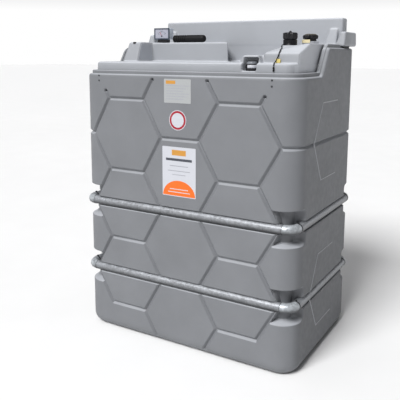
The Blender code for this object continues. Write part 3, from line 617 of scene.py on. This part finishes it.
def groove_guides(sheet, start, end, free):
    """Lines beside a groove where its section bends, and rings round a free end."""
    start, end = Vector(start), Vector(end)
    across = across_of(start, end)
    turns = [atan2(-across.y, -across.x) + pi * i / 6 for i in range(7)]
    r = V_ROUNDING
    for share in (0.0, r / 2, r, 1 - r, 1 - r / 3, 1 + r / 3, 1 + r):
        reach = share * GROOVE_HALF_WIDTH
        for side in ((1,) if share == 0.0 else (-1, 1)):
            sheet.line(start + across * side * reach, end + across * side * reach)
        if free and share:
            sheet.line(*[(end.x + reach * cos(a), end.y + reach * sin(a)) for a in turns])


def recess_guides(sheet, height, mirrored):
    """Lines along a recess's walls, and a fine grid where its rounded end walls meet."""

    def run(s):
        return S_LAST - s if mirrored else s

    for share in (0.0, 0.12, 0.25, 0.37, 0.5, 0.63, 0.75, 0.88, 1.0):
        inset = share * RECESS_WALL
        reach = RECESS_HALF_HEIGHT - inset
        nose = HEX_TIP + inset / cos(radians(30))
        for way in (-1, 1):
            corner = nose - reach * HEX_SLOPE
            level = height + way * reach
            sheet.line((run(nose), height), (run(corner), level), (run(S_RECESS_END), level))
        side = S_RECESS_END - inset / RECESS_END_SLOPE
        sheet.line((run(side), height - reach), (run(side), height + reach))
    spacing = 0.0035
    for way in (-1, 1):
        for i in range(9):
            s = run(S_RECESS_END - i * spacing)
            sheet.line(*[(s, height + way * (RECESS_HALF_HEIGHT - j * spacing)) for j in range(9)])


def perimeter_runs(corner_steps=14):
    """Runs along the right half where the rim is sampled: the corners and the ramps more finely."""
    middle = S_END + END_HALF
    stretches = ((0.0, S_CORNER, 6), (S_BACK, S_LAST, 6), (S_CORNER, S_END, corner_steps + 1),
                 (S_BACK_CORNER, S_BACK, corner_steps + 1),
                 (middle + RAMP_Y[0] - RAMP_EASE, middle + RAMP_Y[1] + RAMP_EASE + LIP_RAMP_SHIFT, 40),
                 (middle + LIP_REAR_END_Y - 0.004, middle + LIP_REAR_END_Y + 0.012, 7))
    return np.unique(np.concatenate([np.linspace(*stretch) for stretch in stretches]))


def wall_sheet():
    sheet = FlatSheet()
    runs = perimeter_runs()
    top = rim_height(plan_point(runs)[1]) - RIM_EDGE
    sheet.loop([(0.0, 0.0), (S_LAST, 0.0)] + [(float(s), float(z)) for s, z in zip(runs[::-1], top[::-1])])
    for row in GROOVES:
        groove_guides(sheet, *row)
    for centre in DIMPLES:
        for share in (0.25, 0.5, 0.7, 0.85, 1.0):
            sheet.loop(disc(share * DIMPLE_RADIUS, steps=16, centre=centre))
    for start in (S_CORNER, S_BACK_CORNER):
        for i in range(15):
            s = start + CORNER_RUN * i / 14
            limit = float(rim_height(plan_point(s)[1])) - RIM_EDGE
            sheet.line((s, 0.0), (s, limit))
    for i in range(1, 13):
        z = FOOT_RADIUS * (1 - cos(pi / 2 * i / 12))
        sheet.line((0.0, z), (S_LAST, z))
    sheet.line((0.0, POCKET_DEPTH), (S_LAST, POCKET_DEPTH))
    for edge in POCKET_X:
        for way in (-1, 1):
            x = edge + way * POCKET_SLOPE
            for s in (x, S_LAST - x):
                sheet.line((s, 0.0), (s, 2 * POCKET_DEPTH))
    for height in BAND_HEIGHTS.values():
        for mirrored in (False, True):
            recess_guides(sheet, height, mirrored)
        for share in (0.0, 0.4, 0.7, 0.9, 0.985, 1.0, 1.03, 1.08, 1.14, 1.2016):
            for way in (-1, 1):
                z = height + way * share * CHANNEL_REACH
                sheet.line((0.0, z), (S_LAST, z))
    return sheet


def end_beads():
    """Half hexagons on the front half of the end faces, as thin beads that catch the light; their paler colour is a
    painted highlight.
    """
    lines = []
    for centre in (GROOVE_Z, BAND_HEIGHTS["lower"]):
        for end_z in (centre + HEX_HALF, centre - HEX_HALF):
            bend = Vector((-HEX_SIDE / 2, end_z))
            lines += [(Vector((-HEX_SIDE, centre)), bend), (bend, Vector((HEX_SIDE / 2, end_z)))]
    beads = []
    for start, end in lines:
        overlap = (end - start).normalized() * 0.002
        across = across_of(start, end) * BEAD_HALF_WIDTH
        for side in (-1, 1):
            rows = []
            for share, out in ((-1.0, -0.001), (-0.7, BEAD_RISE * 2 / 3), (0.0, BEAD_RISE), (0.7, BEAD_RISE * 2 / 3),
                               (1.0, -0.001)):
                for point in (start - overlap, end + overlap):
                    rows.append((side * (LENGTH / 2 + out), *(point + across * share)))
            faces = [(2 * i, 2 * i + 1, 2 * i + 3, 2 * i + 2)[::side] for i in range(4)]
            beads.append(mesh_object("bead", rows, faces, LOOKS["bead"]))
    return place(joined("end_beads", beads), "shell_plastic")


def shell_wall():
    """The carved outer wall: the right half, then its mirror image."""
    flat, faces = wall_sheet().triangles()
    points, normals = wall_point(*flat.T), wall_normals(*flat.T)
    mirror = np.array([-1.0, 1.0, 1.0])
    count = len(points)
    all_faces = faces + [tuple(count + i for i in reversed(face)) for face in faces]
    obj = mesh_object("shell_wall", np.vstack([points, points * mirror]), all_faces, LOOKS["shell"])
    obj.data.normals_split_custom_set_from_vertices(np.vstack([normals, normals * mirror]).tolist())
    return place(obj, "shell_plastic", "bund_shell")


def quarter(centre, radius, start, steps=6):
    """Points of a quarter turn in a section, as (inset, height)."""
    turns = [start + pi / 2 * i / steps for i in range(steps + 1)]
    return [(centre[0] + radius * cos(a), centre[1] + radius * sin(a)) for a in turns]


def rim_section():
    """Section over the rim from the outer wall to the inside, as (inset, height, part); part tells which
    of the two heights, the rim's or the lip's, the height counts from."""
    edge, lip, hollow = RIM_EDGE, LIP_EDGE, 0.003
    outer = quarter((edge, -edge), edge, pi / 2)[::-1]
    foot = quarter((LIP_INSET - hollow, hollow), hollow, -pi / 2, 3)
    crest = quarter((LIP_INSET + lip, -lip), lip, pi / 2)[::-1]
    inner = quarter((LIP_INNER_INSET - lip, -lip), lip, 0.0)[::-1]
    return [(*point, "rim") for point in outer + foot] + [(*point, "lip") for point in crest + inner]


def shell_rim():
    """The ledge and the raised lip, following the ramps."""
    right = plan_point(perimeter_runs(18))
    x, y, nx, ny = (np.concatenate([half, way * half[-2:0:-1]]) for half, way in zip(right, (-1, 1, -1, 1)))
    rings = []
    for inset, height, part in rim_section():
        px, py = x - nx * inset, y - ny * inset
        rim = rim_height(py)
        fade = 1 - np.clip((py - LIP_REAR_END_Y) / 0.008, 0.0, 1.0)
        lip = rim_height(py, LIP_RAMP_SHIFT)
        lip = np.where(py > RAMP_Y[1] + LIP_RAMP_SHIFT + RAMP_EASE, rim, lip) + LIP_RISE * fade
        z = rim + height if part == "rim" else np.maximum(lip + height, rim + np.minimum(height, 0.0))
        rings.append(np.stack([px, py, z], axis=-1))
    last = rings[-1].copy()
    last[:, 2] = LIP_FOOT_Z
    rings.append(last)
    count = len(x)
    obj = mesh_object("shell_rim", np.vstack(rings), grid_faces(len(rings), count), LOOKS["shell"])
    return place(sharpen(obj, 50), "shell_plastic", "bund_shell")


def shell_floor():
    """The underside, with its two raised stretches."""
    sheet = FlatSheet()
    edges = [POCKET_X[0] - POCKET_SLOPE, POCKET_X[1] + POCKET_SLOPE]
    x, y, nx, ny = plan_point(np.unique([*np.linspace(0.0, S_LAST, 160), *edges]))
    x, y = x - nx * FOOT_RADIUS, y - ny * FOOT_RADIUS
    right = [(float(a), float(b)) for a, b in zip(x, y)]
    left = [(-a, b) for a, b in reversed(right[1:-1])]
    sheet.loop(right + left)
    limit = DEPTH / 2 - FOOT_RADIUS - 0.001
    for way in (-1, 1):
        for edge in POCKET_X:
            for slope in (-POCKET_SLOPE, POCKET_SLOPE):
                sheet.line((way * (edge + slope), -limit), (way * (edge + slope), limit))
    flat, faces = sheet.triangles()
    points = np.column_stack([flat, pocket_height(flat[:, 0])])
    obj = mesh_object("shell_floor", points, [tuple(reversed(face)) for face in faces], LOOKS["shell"], False)
    return place(obj, "shell_plastic", "bund_shell")


# Top moulding

def top_moulding():
    """The top, remeshed finely from its solid and smoothed, so that all its corners run soft."""
    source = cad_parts["tank_top"]
    obj = link(bpy.data.objects.new("top_moulding", source.data.copy()))
    obj.data.materials.clear()
    obj.data.materials.append(LOOKS["top"])
    remesh = obj.modifiers.new("remesh", 'REMESH')
    remesh.mode = 'VOXEL'
    remesh.voxel_size = TOP_VOXEL
    smooth = obj.modifiers.new("smooth", 'SMOOTH')
    smooth.factor = 0.5
    smooth.iterations = 3
    thin = obj.modifiers.new("thin", 'DECIMATE')
    thin.ratio = TOP_KEPT
    graph = bpy.context.evaluated_depsgraph_get()
    mesh = bpy.data.meshes.new_from_object(obj.evaluated_get(graph))
    obj.modifiers.clear()
    obj.data = mesh
    mesh.shade_smooth()
    return place(obj, "top_plastic", "tank_top")


# Tube bands

def swept_tube(name, centres, ways, radius, material):
    """A round tube through centres; ways holds the direction of travel at each."""
    sides = 40
    vertices = []
    for centre, way in zip(centres, ways):
        side = way.cross(Vector((0, 0, 1))).normalized()
        for i in range(sides):
            turn = 2 * pi * i / sides
            vertices.append(centre + side * (radius * cos(turn)) + Vector((0, 0, radius * sin(turn))))
    return mesh_object(name, vertices, capped_faces(len(centres), sides), material)


def joint_ring(centre, way, width):
    """A narrow dark band round a tube where two lengths meet."""
    ends = [centre - way * width / 2, centre + way * width / 2]
    return swept_tube("joint_ring", ends, [way, way], TUBE_RADIUS, LOOKS["joint"])


def straight_tube(node):
    middle, size = centre_of(node), size_of(node)
    way = Vector((1, 0, 0)) if size.x > size.y else Vector((0, 1, 0))
    half = way * (way.dot(size) / 2)
    obj = swept_tube(f"{node}_skin", [middle - half, middle + half], [way, way], TUBE_RADIUS - JOINT_RISE,
                     LOOKS["tube"])
    return place(sharpen(obj), "galvanised_tube", node)


def elbow(node, sx, sy):
    """A quarter bend with a dark joint at each end and a set screw near the side joint."""
    low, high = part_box(node)
    inner = Vector((low.x if sx > 0 else high.x, low.y if sy > 0 else high.y, (low.z + high.z) / 2))
    bend = min(high.x - low.x, high.y - low.y) - TUBE_RADIUS
    steps = 14
    centres, ways = [], []
    for i in range(steps + 1):
        turn = pi / 2 * i / steps
        centres.append(inner + Vector((sx * bend * sin(turn), sy * bend * cos(turn), 0)))
        ways.append(Vector((sx * cos(turn), -sy * sin(turn), 0)))
    screw = centres[-1] + ways[-1] * 0.006 + Vector((0, 0, TUBE_RADIUS - 0.001))
    profile = [(0.0052, screw.z), (0.0052, screw.z + 0.0035), (0.0042, screw.z + 0.0045)]
    obj = joined(f"{node}_skin", [
        swept_tube("bend", centres, ways, TUBE_RADIUS - JOINT_RISE, LOOKS["elbow"]),
        joint_ring(centres[0], ways[0], JOINT_WIDTH),
        joint_ring(centres[-1] - ways[-1] * 0.001, ways[-1], SIDE_JOINT_WIDTH),
        turned("set_screw", profile, screw, LOOKS["joint"], 6)])
    return place(sharpen(obj), "galvanised_elbow", node)


def tube_bands():
    for band in BAND_HEIGHTS:
        for side in ("front", "back", "left", "right"):
            straight_tube(f"{band}_tube_{side}")
        for face, sy in (("front", -1), ("back", 1)):
            for end, sx in (("left", -1), ("right", 1)):
                elbow(f"{band}_elbow_{face}_{end}", sx, sy)


# Fittings on the top

def filler_fitting():
    """Collar with fine ribs, and a screw cap with eight shallow lobes and a vent knob."""
    foot, head, radius = round_box("filler_collar")
    profile = [(radius - 0.001, foot), (radius, foot + 0.001), (radius, foot + 0.004)]
    for i in range(5):
        z = foot + 0.006 + 0.004 * i
        profile += [(radius - 0.0015, z), (radius - 0.0015, z + 0.0015), (radius, z + 0.0022), (radius, z + 0.0034)]
    profile.append((radius - 0.002, head))
    fitting("filler_collar_skin", "filler_collar", profile)

    foot, top, reach = round_box("filler_cap")
    reach -= CAP_LOBE
    profile = [(reach - 0.005, foot, 0.0), (reach - 0.001, foot + 0.004, 0.6), (reach, foot + 0.010, 1.0),
               (reach, top - 0.010, 1.0), (reach - 0.0012, top - 0.006, 0.9), (reach - 0.005, top - 0.003, 0.7),
               (reach - 0.008, top - 0.0025, 0.3), (reach - 0.0095, top - 0.0045, 0.0), (0.014, top - 0.004, 0.0),
               (0.012, top - 0.001, 0.0), (0.006, top, 0.0)]
    fitting("filler_cap_skin", "filler_cap", profile, sides=96, lobes=8, swell=CAP_LOBE)

    foot, head, _ = round_box("filler_cap_knob")
    profile = [(0.0060, foot - 0.002), (0.0060, foot + 0.002), (0.0050, foot + 0.004), (0.0025, head)]
    fitting("filler_knob_skin", "filler_cap_knob", profile, sides=24)


def suction_fitting():
    """Smooth neck with a low cap of six lobes, its domed crown in brown as a painted sheen."""
    foot, head, radius = round_box("suction_neck")
    profile = [(radius, foot), (radius, head - 0.004), (radius - 0.002, head - 0.003), (radius - 0.002, head)]
    fitting("suction_neck_skin", "suction_neck", profile)
    foot, top, reach = round_box("suction_cap")
    reach -= LOW_CAP_LOBE
    profile = [(reach - 0.006, foot, 0.5), (reach - 0.001, foot + 0.003, 0.9), (reach, foot + 0.006, 1.0),
               (reach, foot + 0.017, 1.0), (reach - 0.003, foot + 0.020, 0.9)]
    fitting("suction_cap_skin", "suction_cap", profile, sides=96, lobes=6, swell=LOW_CAP_LOBE)
    # The crown in a brown tone, a painted sheen on the cap's top
    profile = [(reach - 0.0032, foot + 0.0195, 0.9), (reach - 0.008, top - 0.004, 0.7),
               (reach - 0.012, top - 0.0015, 0.4), (reach - 0.018, top - 0.0004, 0.0), (0.006, top, 0.0)]
    fitting("suction_cap_crown", "suction_cap", profile, "crown_sheen", sides=96, lobes=6, swell=LOW_CAP_LOBE)


def leak_indicator():
    """Black base, smoked cap, and a band with a white window towards the front."""
    foot, head, radius = round_box("indicator_body")
    shoulder = foot + 0.030
    profile = [(radius, foot), (radius, shoulder - 0.002), (radius - 0.002, shoulder),
               (radius - 0.006, shoulder + 0.0005)]
    fitting("indicator_base", "indicator_body", profile)
    profile = [(radius - 0.005, shoulder), (radius - 0.005, head - 0.005), (radius - 0.008, head - 0.001),
               (radius - 0.012, head)]
    fitting("indicator_glass", "indicator_body", profile, "smoked")
    foot, head, face = round_box("indicator_band")
    outer = face - 0.0006
    profile = [(outer - 0.001, foot), (outer, foot + 0.001), (outer, head - 0.001), (outer - 0.001, head)]
    fitting("indicator_band_skin", "indicator_band", profile)
    centre = centre_of("indicator_body")
    turns = [radians(12 * i - 107) for i in range(8)]
    rows = [(outer, foot), (face, foot + 0.0004), (face, head - 0.0004), (outer, head)]
    vertices = [(centre.x + r * cos(a), centre.y + r * sin(a), z) for r, z in rows for a in turns]
    place(mesh_object("indicator_window", vertices, grid_faces(len(rows), len(turns), False), LOOKS["white"]),
          "dial_white", "indicator_band")


def level_gauge():
    """Housing, frame and dial with an arc of marks and a needle."""
    block("gauge_housing", "gauge_body", "housing", "gauge_frame", 0.004)
    block("gauge_foot_skin", "gauge_foot", "black", "black_plastic", 0.002)
    low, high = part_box("gauge_bezel")
    dial_low, dial_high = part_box("gauge_dial")
    bars = [box_object("bar", (x0, low.y, z0), (x1, high.y, z1), LOOKS["frame"], 0.0015)
            for x0, x1, z0, z1 in ((low.x, high.x, dial_high.z, high.z), (low.x, high.x, low.z, dial_low.z),
                                   (low.x, dial_low.x, dial_low.z, dial_high.z),
                                   (dial_high.x, high.x, dial_low.z, dial_high.z))]
    place(joined("gauge_frame_skin", bars), "gauge_frame", "gauge_bezel")
    block("gauge_face", "gauge_dial", "dial", "dial_white", 0.0008)

    face_y = dial_low.y - 0.0003
    middle = Vector(((dial_low.x + dial_high.x) / 2, face_y, dial_low.z + 0.012))
    marks = []
    for i in range(11):
        turn = radians(150 - 12 * i)
        near, far, width = (0.025, 0.030, 0.0012) if i % 5 else (0.021, 0.031, 0.0022)
        marks.append(flat_bar(middle, turn, near, far, width, LOOKS["ink"]))
    marks.append(flat_bar(middle, radians(118), 0.0, 0.027, 0.0026, LOOKS["red"]))
    hub = [(u, face_y - 0.0004, v) for u, v in disc(0.005, 20, (middle.x, middle.z))]
    marks.append(mesh_object("hub", hub, [tuple(range(20))], LOOKS["ink"], False))
    place(joined("gauge_marks", marks), "dial_white")


def flat_bar(origin, turn, near, far, width, material):
    """A thin bar on an upright face, turned about origin."""
    way = Vector((cos(turn), 0, sin(turn)))
    across = Vector((-sin(turn), 0, cos(turn))) * (width / 2)
    corners = [origin + way * u + across * v for u, v in rect(near, far, -1, 1)]
    return mesh_object("bar", corners, [(0, 1, 2, 3)], material, False)


def ribbed_sleeve():
    low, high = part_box("ribbed_sleeve")
    axis = (low + high) / 2
    radius = (high.z - low.z) / 2
    pitch, ribs = 0.014, 6
    profile = [(low.x, radius - 0.006), (low.x + 0.002, radius - 0.002)]
    x = low.x + 0.004
    for _ in range(ribs):
        profile += [(x, radius - 0.0004), (x + pitch * 0.12, radius), (x + pitch * 0.42, radius),
                    (x + pitch * 0.54, radius - 0.0006), (x + pitch * 0.62, radius - 0.0035),
                    (x + pitch * 0.86, radius - 0.0035)]
        x += pitch
    profile += [(x, radius - 0.0006), (x + 0.002, radius)]
    nose = 0.019
    for i in range(9):
        turn = radians(10) * i
        profile.append((high.x - nose + nose * sin(turn), radius * cos(turn)))
    profile.append((high.x, 0.001))
    sides = 40
    vertices = [(px, axis.y + r * cos(2 * pi * i / sides), axis.z + r * sin(2 * pi * i / sides))
                for px, r in profile for i in range(sides)]
    faces = grid_faces(len(profile), sides)
    faces.append(tuple(reversed(range(sides))))
    obj = mesh_object("ribbed_sleeve_skin", vertices, faces, LOOKS["rubber"])
    return place(sharpen(obj, 35), "black_rubber", "ribbed_sleeve")


def smooth_route(points, count):
    """Points along a Catmull-Rom curve through the given route."""
    route = [Vector(point) for point in points]
    route = [2 * route[0] - route[1]] + route + [2 * route[-1] - route[-2]]
    spans = len(route) - 3
    result = []
    for i in range(count + 1):
        at = min(i * spans / count, spans - 1e-6)
        k = int(at)
        t = at - k
        a, b, c, d = route[k:k + 4]
        result.append(0.5 * (2 * b + (c - a) * t + (2 * a - 5 * b + 4 * c - d) * t ** 2
                             + (3 * b - a - 3 * c + d) * t ** 3))
    return result


def cap_cord():
    points = smooth_route(CORD_ROUTE, CORD_POINTS)
    curve = bpy.data.curves.new("cap_cord_skin", 'CURVE')
    curve.dimensions = '3D'
    curve.bevel_depth = CORD_DIAMETER / 2
    curve.bevel_resolution = 4
    curve.use_fill_caps = True
    spline = curve.splines.new('POLY')
    spline.points.add(len(points) - 1)
    for slot, point in zip(spline.points, points):
        slot.co = (*point, 1.0)
    curve.materials.append(LOOKS["rubber"])
    cord = link(bpy.data.objects.new("cap_cord_skin", curve))
    place(cord, "black_rubber", "cap_cord")

    foot, head, radius = round_box("cord_clip")
    profile = [(radius - 0.0012, foot), (radius, foot + 0.002), (radius, foot + 0.007),
               (radius - 0.001, foot + 0.008), (radius - 0.001, foot + 0.011), (radius, foot + 0.012),
               (radius, head - 0.006), (radius - 0.0016, head)]
    clip = fitting("cord_clip_skin", "cord_clip", profile, "rubber", "black_rubber", sides=24)


def rest_pads():
    for side in ("left", "right"):
        block(f"rest_pad_{side}_skin", f"rest_pad_{side}", "rubber", "black_rubber", 0.0015)


def small_trim():
    """Screws in the shell's rim, a plug in the left block, and two plain tags by the necks."""
    screws = []
    for x, z in ((-0.4805, 1.349), (-0.480, 1.324), (0.472, 1.347), (0.472, 1.321)):
        rings = []
        for radius, out in ((0.0046, -0.001), (0.0046, 0.0006), (0.0036, 0.0014), (0.0014, 0.0016)):
            rings += [(u, -DEPTH / 2 - out, v) for u, v in disc(radius, 20, (x, z))]
        faces = grid_faces(4, 20) + [tuple(range(60, 80))]
        screws.append(mesh_object("screw", rings, faces, LOOKS["joint"]))
    place(joined("rim_screws", screws), "galvanised_tube")

    plug_z = 1.5185
    profile = [(0.0095, plug_z - 0.004), (0.0095, plug_z + 0.002), (0.0080, plug_z + 0.0035), (0.0030, plug_z + 0.004)]
    place(turned("left_block_plug", profile, (-0.503, -0.066), LOOKS["rubber"], 32), "black_rubber")

    foot, _, reach = round_box("suction_cap")
    reach += 0.0004
    centre = centre_of("suction_cap")
    turns = np.radians(np.linspace(205, 288, 14))
    section = rect(reach, reach + 0.0012, foot - size_of("suction_neck").z - 0.008, foot - 0.002)
    rows = [(centre.x + radius * cos(a), centre.y + radius * sin(a), z) for a in turns for radius, z in section]
    faces = grid_faces(len(turns), 4) + [(3, 2, 1, 0), tuple(len(rows) - 4 + i for i in range(4))]
    place(mesh_object("suction_tag", rows, faces, LOOKS["cream"], False), "dial_white")
    tag = box_object("filler_tag", (0.445, -0.3060, 1.4195), (0.468, -0.3035, 1.4370), LOOKS["yellow"], 0.0006)
    place(tag, "dial_white")


# Labels, which carry only plain shapes

def card(half_x, half_z, rounding=0.004):
    """Outline in label units of a card with rounded corners."""
    corners = []
    for sx, sz, start in ((1, 1, 0), (-1, 1, pi / 2), (-1, -1, pi), (1, -1, 3 * pi / 2)):
        for i in range(5):
            turn = start + pi / 2 * i / 4
            corners.append((sx + rounding * (cos(turn) - sx) / half_x, sz + rounding * (sin(turn) - sz) / half_z))
    return corners


def label(name, centre, half_size, back, back_look, shapes):
    """A thin sheet on the front face; shapes holds (outline in label units, look, layer)."""

    def shape(outline, start, height, look):
        points = [(centre[0] + u * half_size[0], centre[1] + v * half_size[1]) for u, v in outline]
        return raised_shape(points, -DEPTH / 2 - start, height, LOOKS[look])

    pieces = [shape(back, 0.0, SHEET, back_look)]
    pieces += [shape(outline, SHEET, INK * layer, look) for outline, look, layer in shapes]
    return place(joined(name, pieces), "dial_white")


def raised_shape(outline, y, height, material):
    """A flat shape that stands a little proud of an upright face at y; its outline runs anticlockwise."""
    count = len(outline)
    back = [(u, y, v) for u, v in outline]
    front = [(u, y - height, v) for u, v in outline]
    faces = [tuple(range(count, 2 * count))]
    faces += [(i, (i + 1) % count, count + (i + 1) % count, count + i) for i in range(count)]
    return mesh_object("shape", back + front, faces, material, False)


def labels():
    half_size = (0.0745, 0.0565)
    shapes = [(rect(-0.86, -0.14, 0.58, 0.86), "amber", 1)]
    shapes += [(rect(-0.86, 0.86 - 0.2 * (i % 3), 0.40 - 0.22 * i, 0.47 - 0.22 * i), "soft_ink", 1)
               for i in range(6)]
    label("type_plate", (-0.0075, 1.2855), half_size, card(*half_size), "plate", shapes)

    shapes = [(disc(0.93), "red", 1), (disc(0.72), "white", 2)]
    label("round_sign", (-0.006, 1.148), (0.048, 0.048), disc(1.0), "white", shapes)

    dome = [(0.97 * cos(pi * i / 24), -0.97 + 0.62 * sin(pi * i / 24)) for i in range(25)]
    shapes = [(rect(-0.42, 0.42, 0.66, 0.88), "amber", 1), (rect(-0.78, 0.78, 0.44, 0.54), "ink", 1),
              (rect(-0.55, 0.55, 0.22, 0.255), "soft_ink", 1), (rect(-0.66, 0.66, 0.02, 0.055), "soft_ink", 1),
              (rect(-0.40, 0.40, -0.13, -0.10), "soft_ink", 1),
              (dome, "orange", 1), (rect(-0.55, 0.55, -0.72, -0.69), "white", 2),
              (rect(-0.66, 0.66, -0.84, -0.81), "white", 2)]
    half_size = (0.094, 0.1205)
    label("poster", (0.0, 0.8995), half_size, card(*half_size), "white", shapes)


# Kept solids, camera, light and floor

def kept_solids():
    """The inner tank stays as its solid: only a dark strip of it shows past the lip."""
    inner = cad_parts["inner_tank"]
    inner.data.materials.clear()
    inner.data.materials.append(LOOKS["top"])


def camera():
    data = bpy.data.cameras.new("photo_camera")
    data.lens = CAMERA_LENS
    data.sensor_width = 36.0
    data.shift_y = CAMERA_SHIFT_Y
    obj = link(bpy.data.objects.new("photo_camera", data))
    turn = Matrix.Rotation(CAMERA_YAW, 4, 'Z') @ Matrix.Rotation(pi / 2 - CAMERA_TILT, 4, 'X')
    obj.matrix_world = Matrix.Translation(CAMERA_AT) @ turn @ Matrix.Rotation(CAMERA_ROLL, 4, 'Z')
    bpy.context.scene.camera = obj


def soft_sun(name, direction_to_light, strength, spread):
    """A wide, far light, so that the floor is lit evenly as far as it reaches."""
    data = bpy.data.lights.new(name, 'SUN')
    data.energy = strength
    data.angle = radians(spread)
    obj = link(bpy.data.objects.new(name, data))
    obj.rotation_mode = 'QUATERNION'
    obj.rotation_quaternion = Vector(direction_to_light).to_track_quat('Z', 'Y')


def studio():
    """White sweep and floor: bright near the horizon, calmer above, with a soft key from the front left."""
    world = bpy.data.worlds.new("studio")
    world.use_nodes = True
    tree = world.node_tree
    background = tree.nodes["Background"]
    split = add_node(tree, "ShaderNodeSeparateXYZ")
    tree.links.new(add_node(tree, "ShaderNodeTexCoord").outputs["Generated"], split.inputs["Vector"])
    fall = ranged(tree, split.outputs["Z"], 0.0, 1.0, (sin(radians(4)), sin(radians(12))))
    tree.links.new(blend_colours(tree, fall, (1.0, 1.0, 1.0), (0.10, 0.10, 0.105)), background.inputs["Color"])
    background.inputs["Strength"].default_value = 1.0
    bpy.context.scene.world = world
    bpy.context.scene.view_settings.view_transform = 'Standard'
    soft_sun("key", (-0.08, -0.70, 0.72), strength=3.8, spread=26)
    soft_sun("overhead", (-0.15, 0.05, 1.0), strength=0.6, spread=60)
    corners = [(x, y, 0) for x, y in rect(-60, 60, -60, 60)]
    paint = speckled("floor_paint", (0.87, 0.87, 0.87), 0.7, 0.01, scale=3.0)
    floor = mesh_object("floor", corners, [(0, 1, 2, 3)], paint, False)


camera()
studio()
cap_cord()
shell_wall()
end_beads()
shell_rim()
shell_floor()
top_moulding()
tube_bands()
filler_fitting()
suction_fitting()
leak_indicator()
level_gauge()
ribbed_sleeve()
rest_pads()
small_trim()
labels()
kept_solids()
